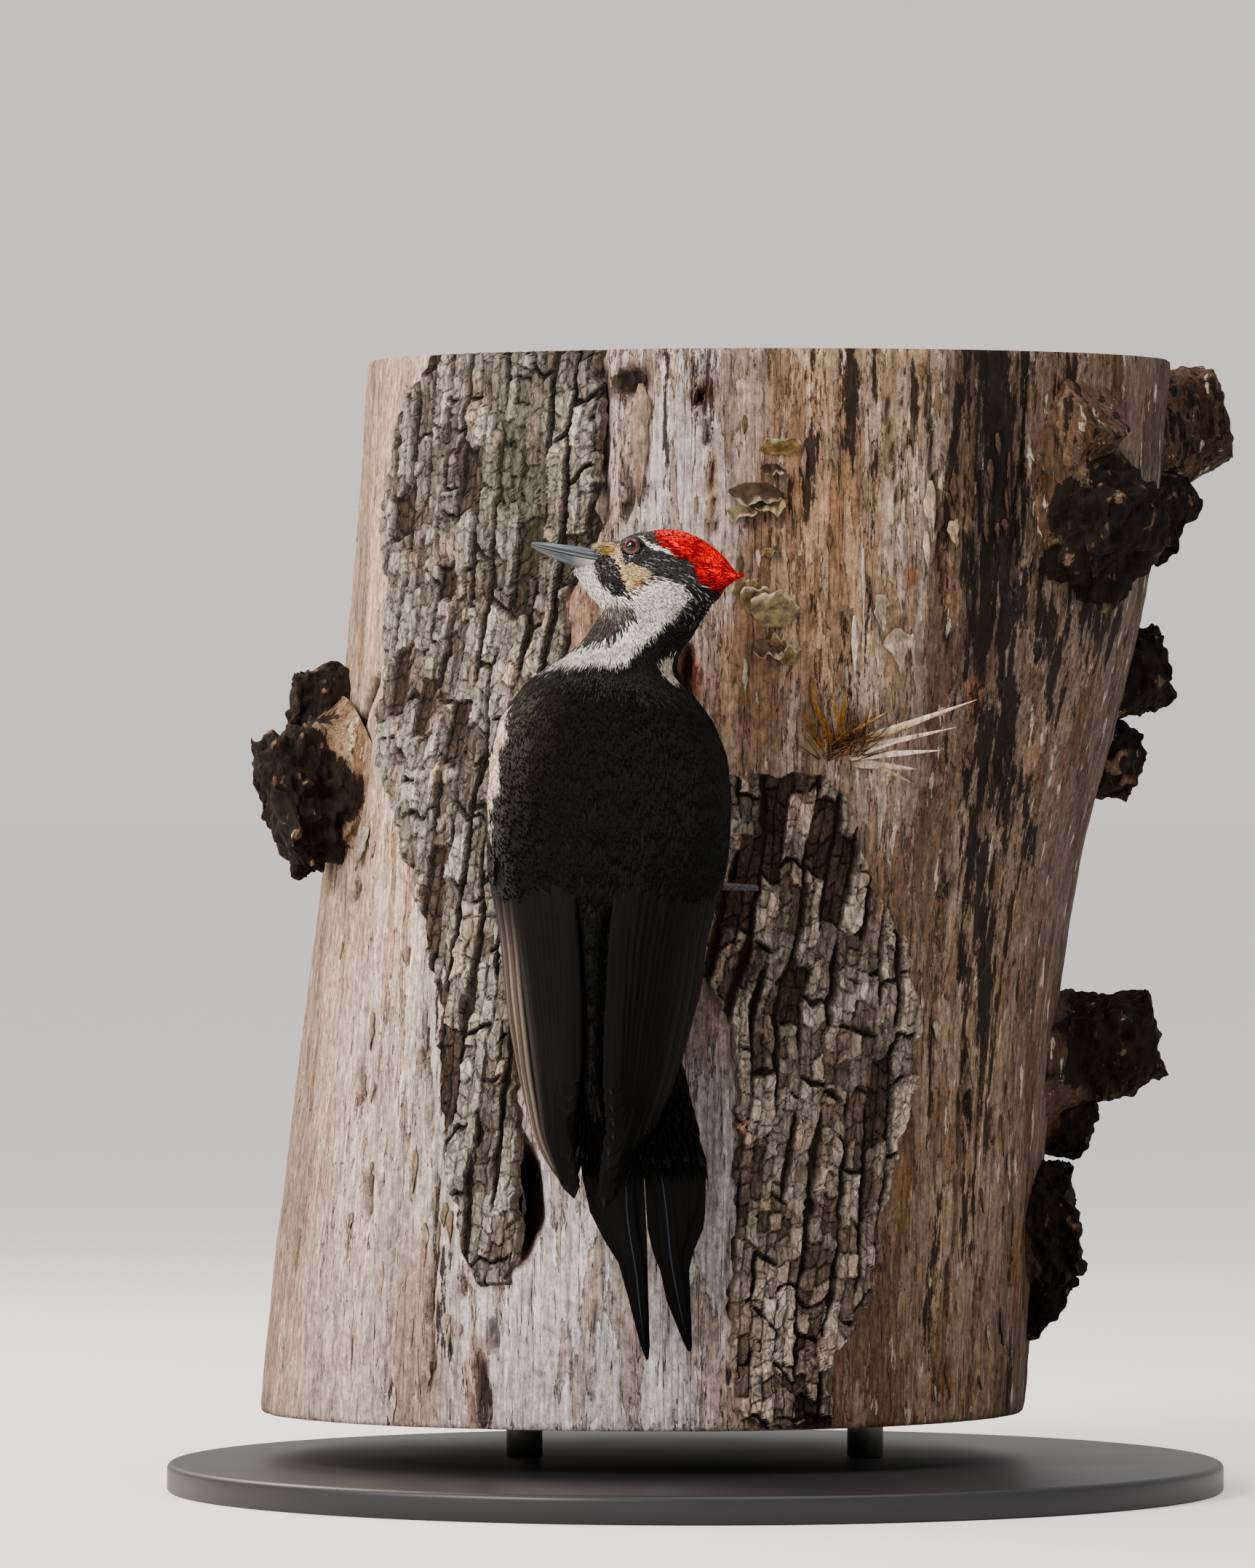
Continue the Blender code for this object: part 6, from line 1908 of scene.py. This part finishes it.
# Brushed steel: fine rings round each rod, as coarse as they need to show.
brushed, shader, add = new_material("brushed steel", Base_Color="#b4b4b2", Metallic=1.0,
                                    Roughness=0.34)
round_it = add("Mapping", {"Vector": add("TexCoord").outputs["Object"], "Scale": (1, 1, 30)})
brush = add("TexNoise", {"Vector": round_it, "Scale": 150, "Detail": 3})
feed(shader, {"Normal": add("Bump", {"Height": brush, "Strength": 0.15, "Distance": 0.1 * MM})})
ROD_EDGE = 0.4 * MM
for side in ("left", "right"):
    low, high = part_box("stand_rod_" + side)
    r = (high.x - low.x) / 2
    profile = [(r - ROD_EDGE, low.z), (r, low.z + ROD_EDGE), (r, high.z - ROD_EDGE),
               (r - ROD_EDGE, high.z)]
    centre = ((low.x + high.x) / 2, (low.y + high.y) / 2)
    add_piece(lathed("steel_rod_" + side, profile, 64, centre), "stand_steel", brushed,
              "stand_rod_" + side)


# --- The core of the tail ------------------------------------------------------------------
# What shows of the tail between its quills: their closed vanes, black keratin, softly matt.

tail_black, shader, add = new_material("tail core black", Base_Color="#0c0b0b", Roughness=0.7,
                                       IOR=KERATIN_IOR, Specular_IOR_Level=0.12)
streaks = add("TexNoise", {"Vector": add("TexCoord").outputs["Object"], "Scale": 600, "Detail": 3})
feed(shader, {"Normal": add("Bump", {"Height": streaks, "Strength": 0.2, "Distance": 0.2 * MM})})
for side in ("left", "right"):
    dress(nodes["tail_" + side], tail_black)


# --- The room --------------------------------------------------------------------
# A plain pale floor that runs out evenly into a pale room, as on a studio's light table,
# with large soft lamps and the camera level with the bird, five metres off.

scene = bpy.context.scene
ROOM, ROOM_LIGHT, FLOOR_PALENESS = linear("#f1efec"), 0.78, 0.8
floor_mesh = bpy.data.meshes.new("floor")
floor_mesh.from_pydata([(-90, -90, 0), (90, -90, 0), (90, 90, 0), (-90, 90, 0)], [],
                       [(0, 1, 2, 3)])
floor = new_object("floor", floor_mesh)
dress(floor, new_material(
    "pale floor paint", Base_Color=[FLOOR_PALENESS * part for part in ROOM] + [1], Roughness=0.7,
    Specular_IOR_Level=0.0, Emission_Color=ROOM + [1],
    Emission_Strength=ROOM_LIGHT * (1 - FLOOR_PALENESS * ROOM[0]))[0])
floor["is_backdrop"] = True


# Square soft lamps, aimed at the bird: place, size, watts, colour.
AIM = Vector((-0.03, -0.15, 0.36))
LAMPS = {"key": ((-2.1, -2.1, 1.9), 1.2, 112, "#fff6ec"),
         "strip": ((-2.35, -1.1, 0.85), 0.5, 9, "#f4f8ff"),
         "fill": ((2.4, -2.4, 1.0), 1.8, 7, "#eaf1ff"),
         "rim": ((-1.5, 1.3, 1.7), 1.0, 45, "#fff2e0"),
         "top": ((0.3, -0.4, 2.4), 1.4, 20, "#ffffff")}
for name, (place, size, watts, code) in LAMPS.items():
    light = bpy.data.lights.new(name, "AREA")
    light.size = size
    light.energy = watts
    light.color = linear(code)
    lamp = new_object(name, light)
    lamp.location = place
    lamp.rotation_euler = (AIM - Vector(place)).to_track_quat("-Z", "Y").to_euler()
scene.world = bpy.data.worlds.new("room")
scene.world.use_nodes = True
feed(scene.world.node_tree.nodes["Background"], {"Color": ROOM + [1], "Strength": ROOM_LIGHT})
scene.view_settings.view_transform = "AgX"
scene.view_settings.look = "AgX - Medium High Contrast"

SENSOR, HALF_VIEW = 36, 0.372
camera = new_object("camera", bpy.data.cameras.new("camera"))
camera.data.sensor_width = SENSOR
camera.data.lens = SENSOR / 2 / (HALF_VIEW / CAMERA_AWAY)
camera.data.clip_end = 400
camera.location = CAMERA_SPOT
camera.rotation_euler = (math.pi / 2, 0, 0)
scene.camera = camera

boxes = {"cad": cad_box, "visual": [list(corner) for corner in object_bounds()]}
boxes = {name: [[float(v) for v in corner] for corner in box] for name, box in boxes.items()}
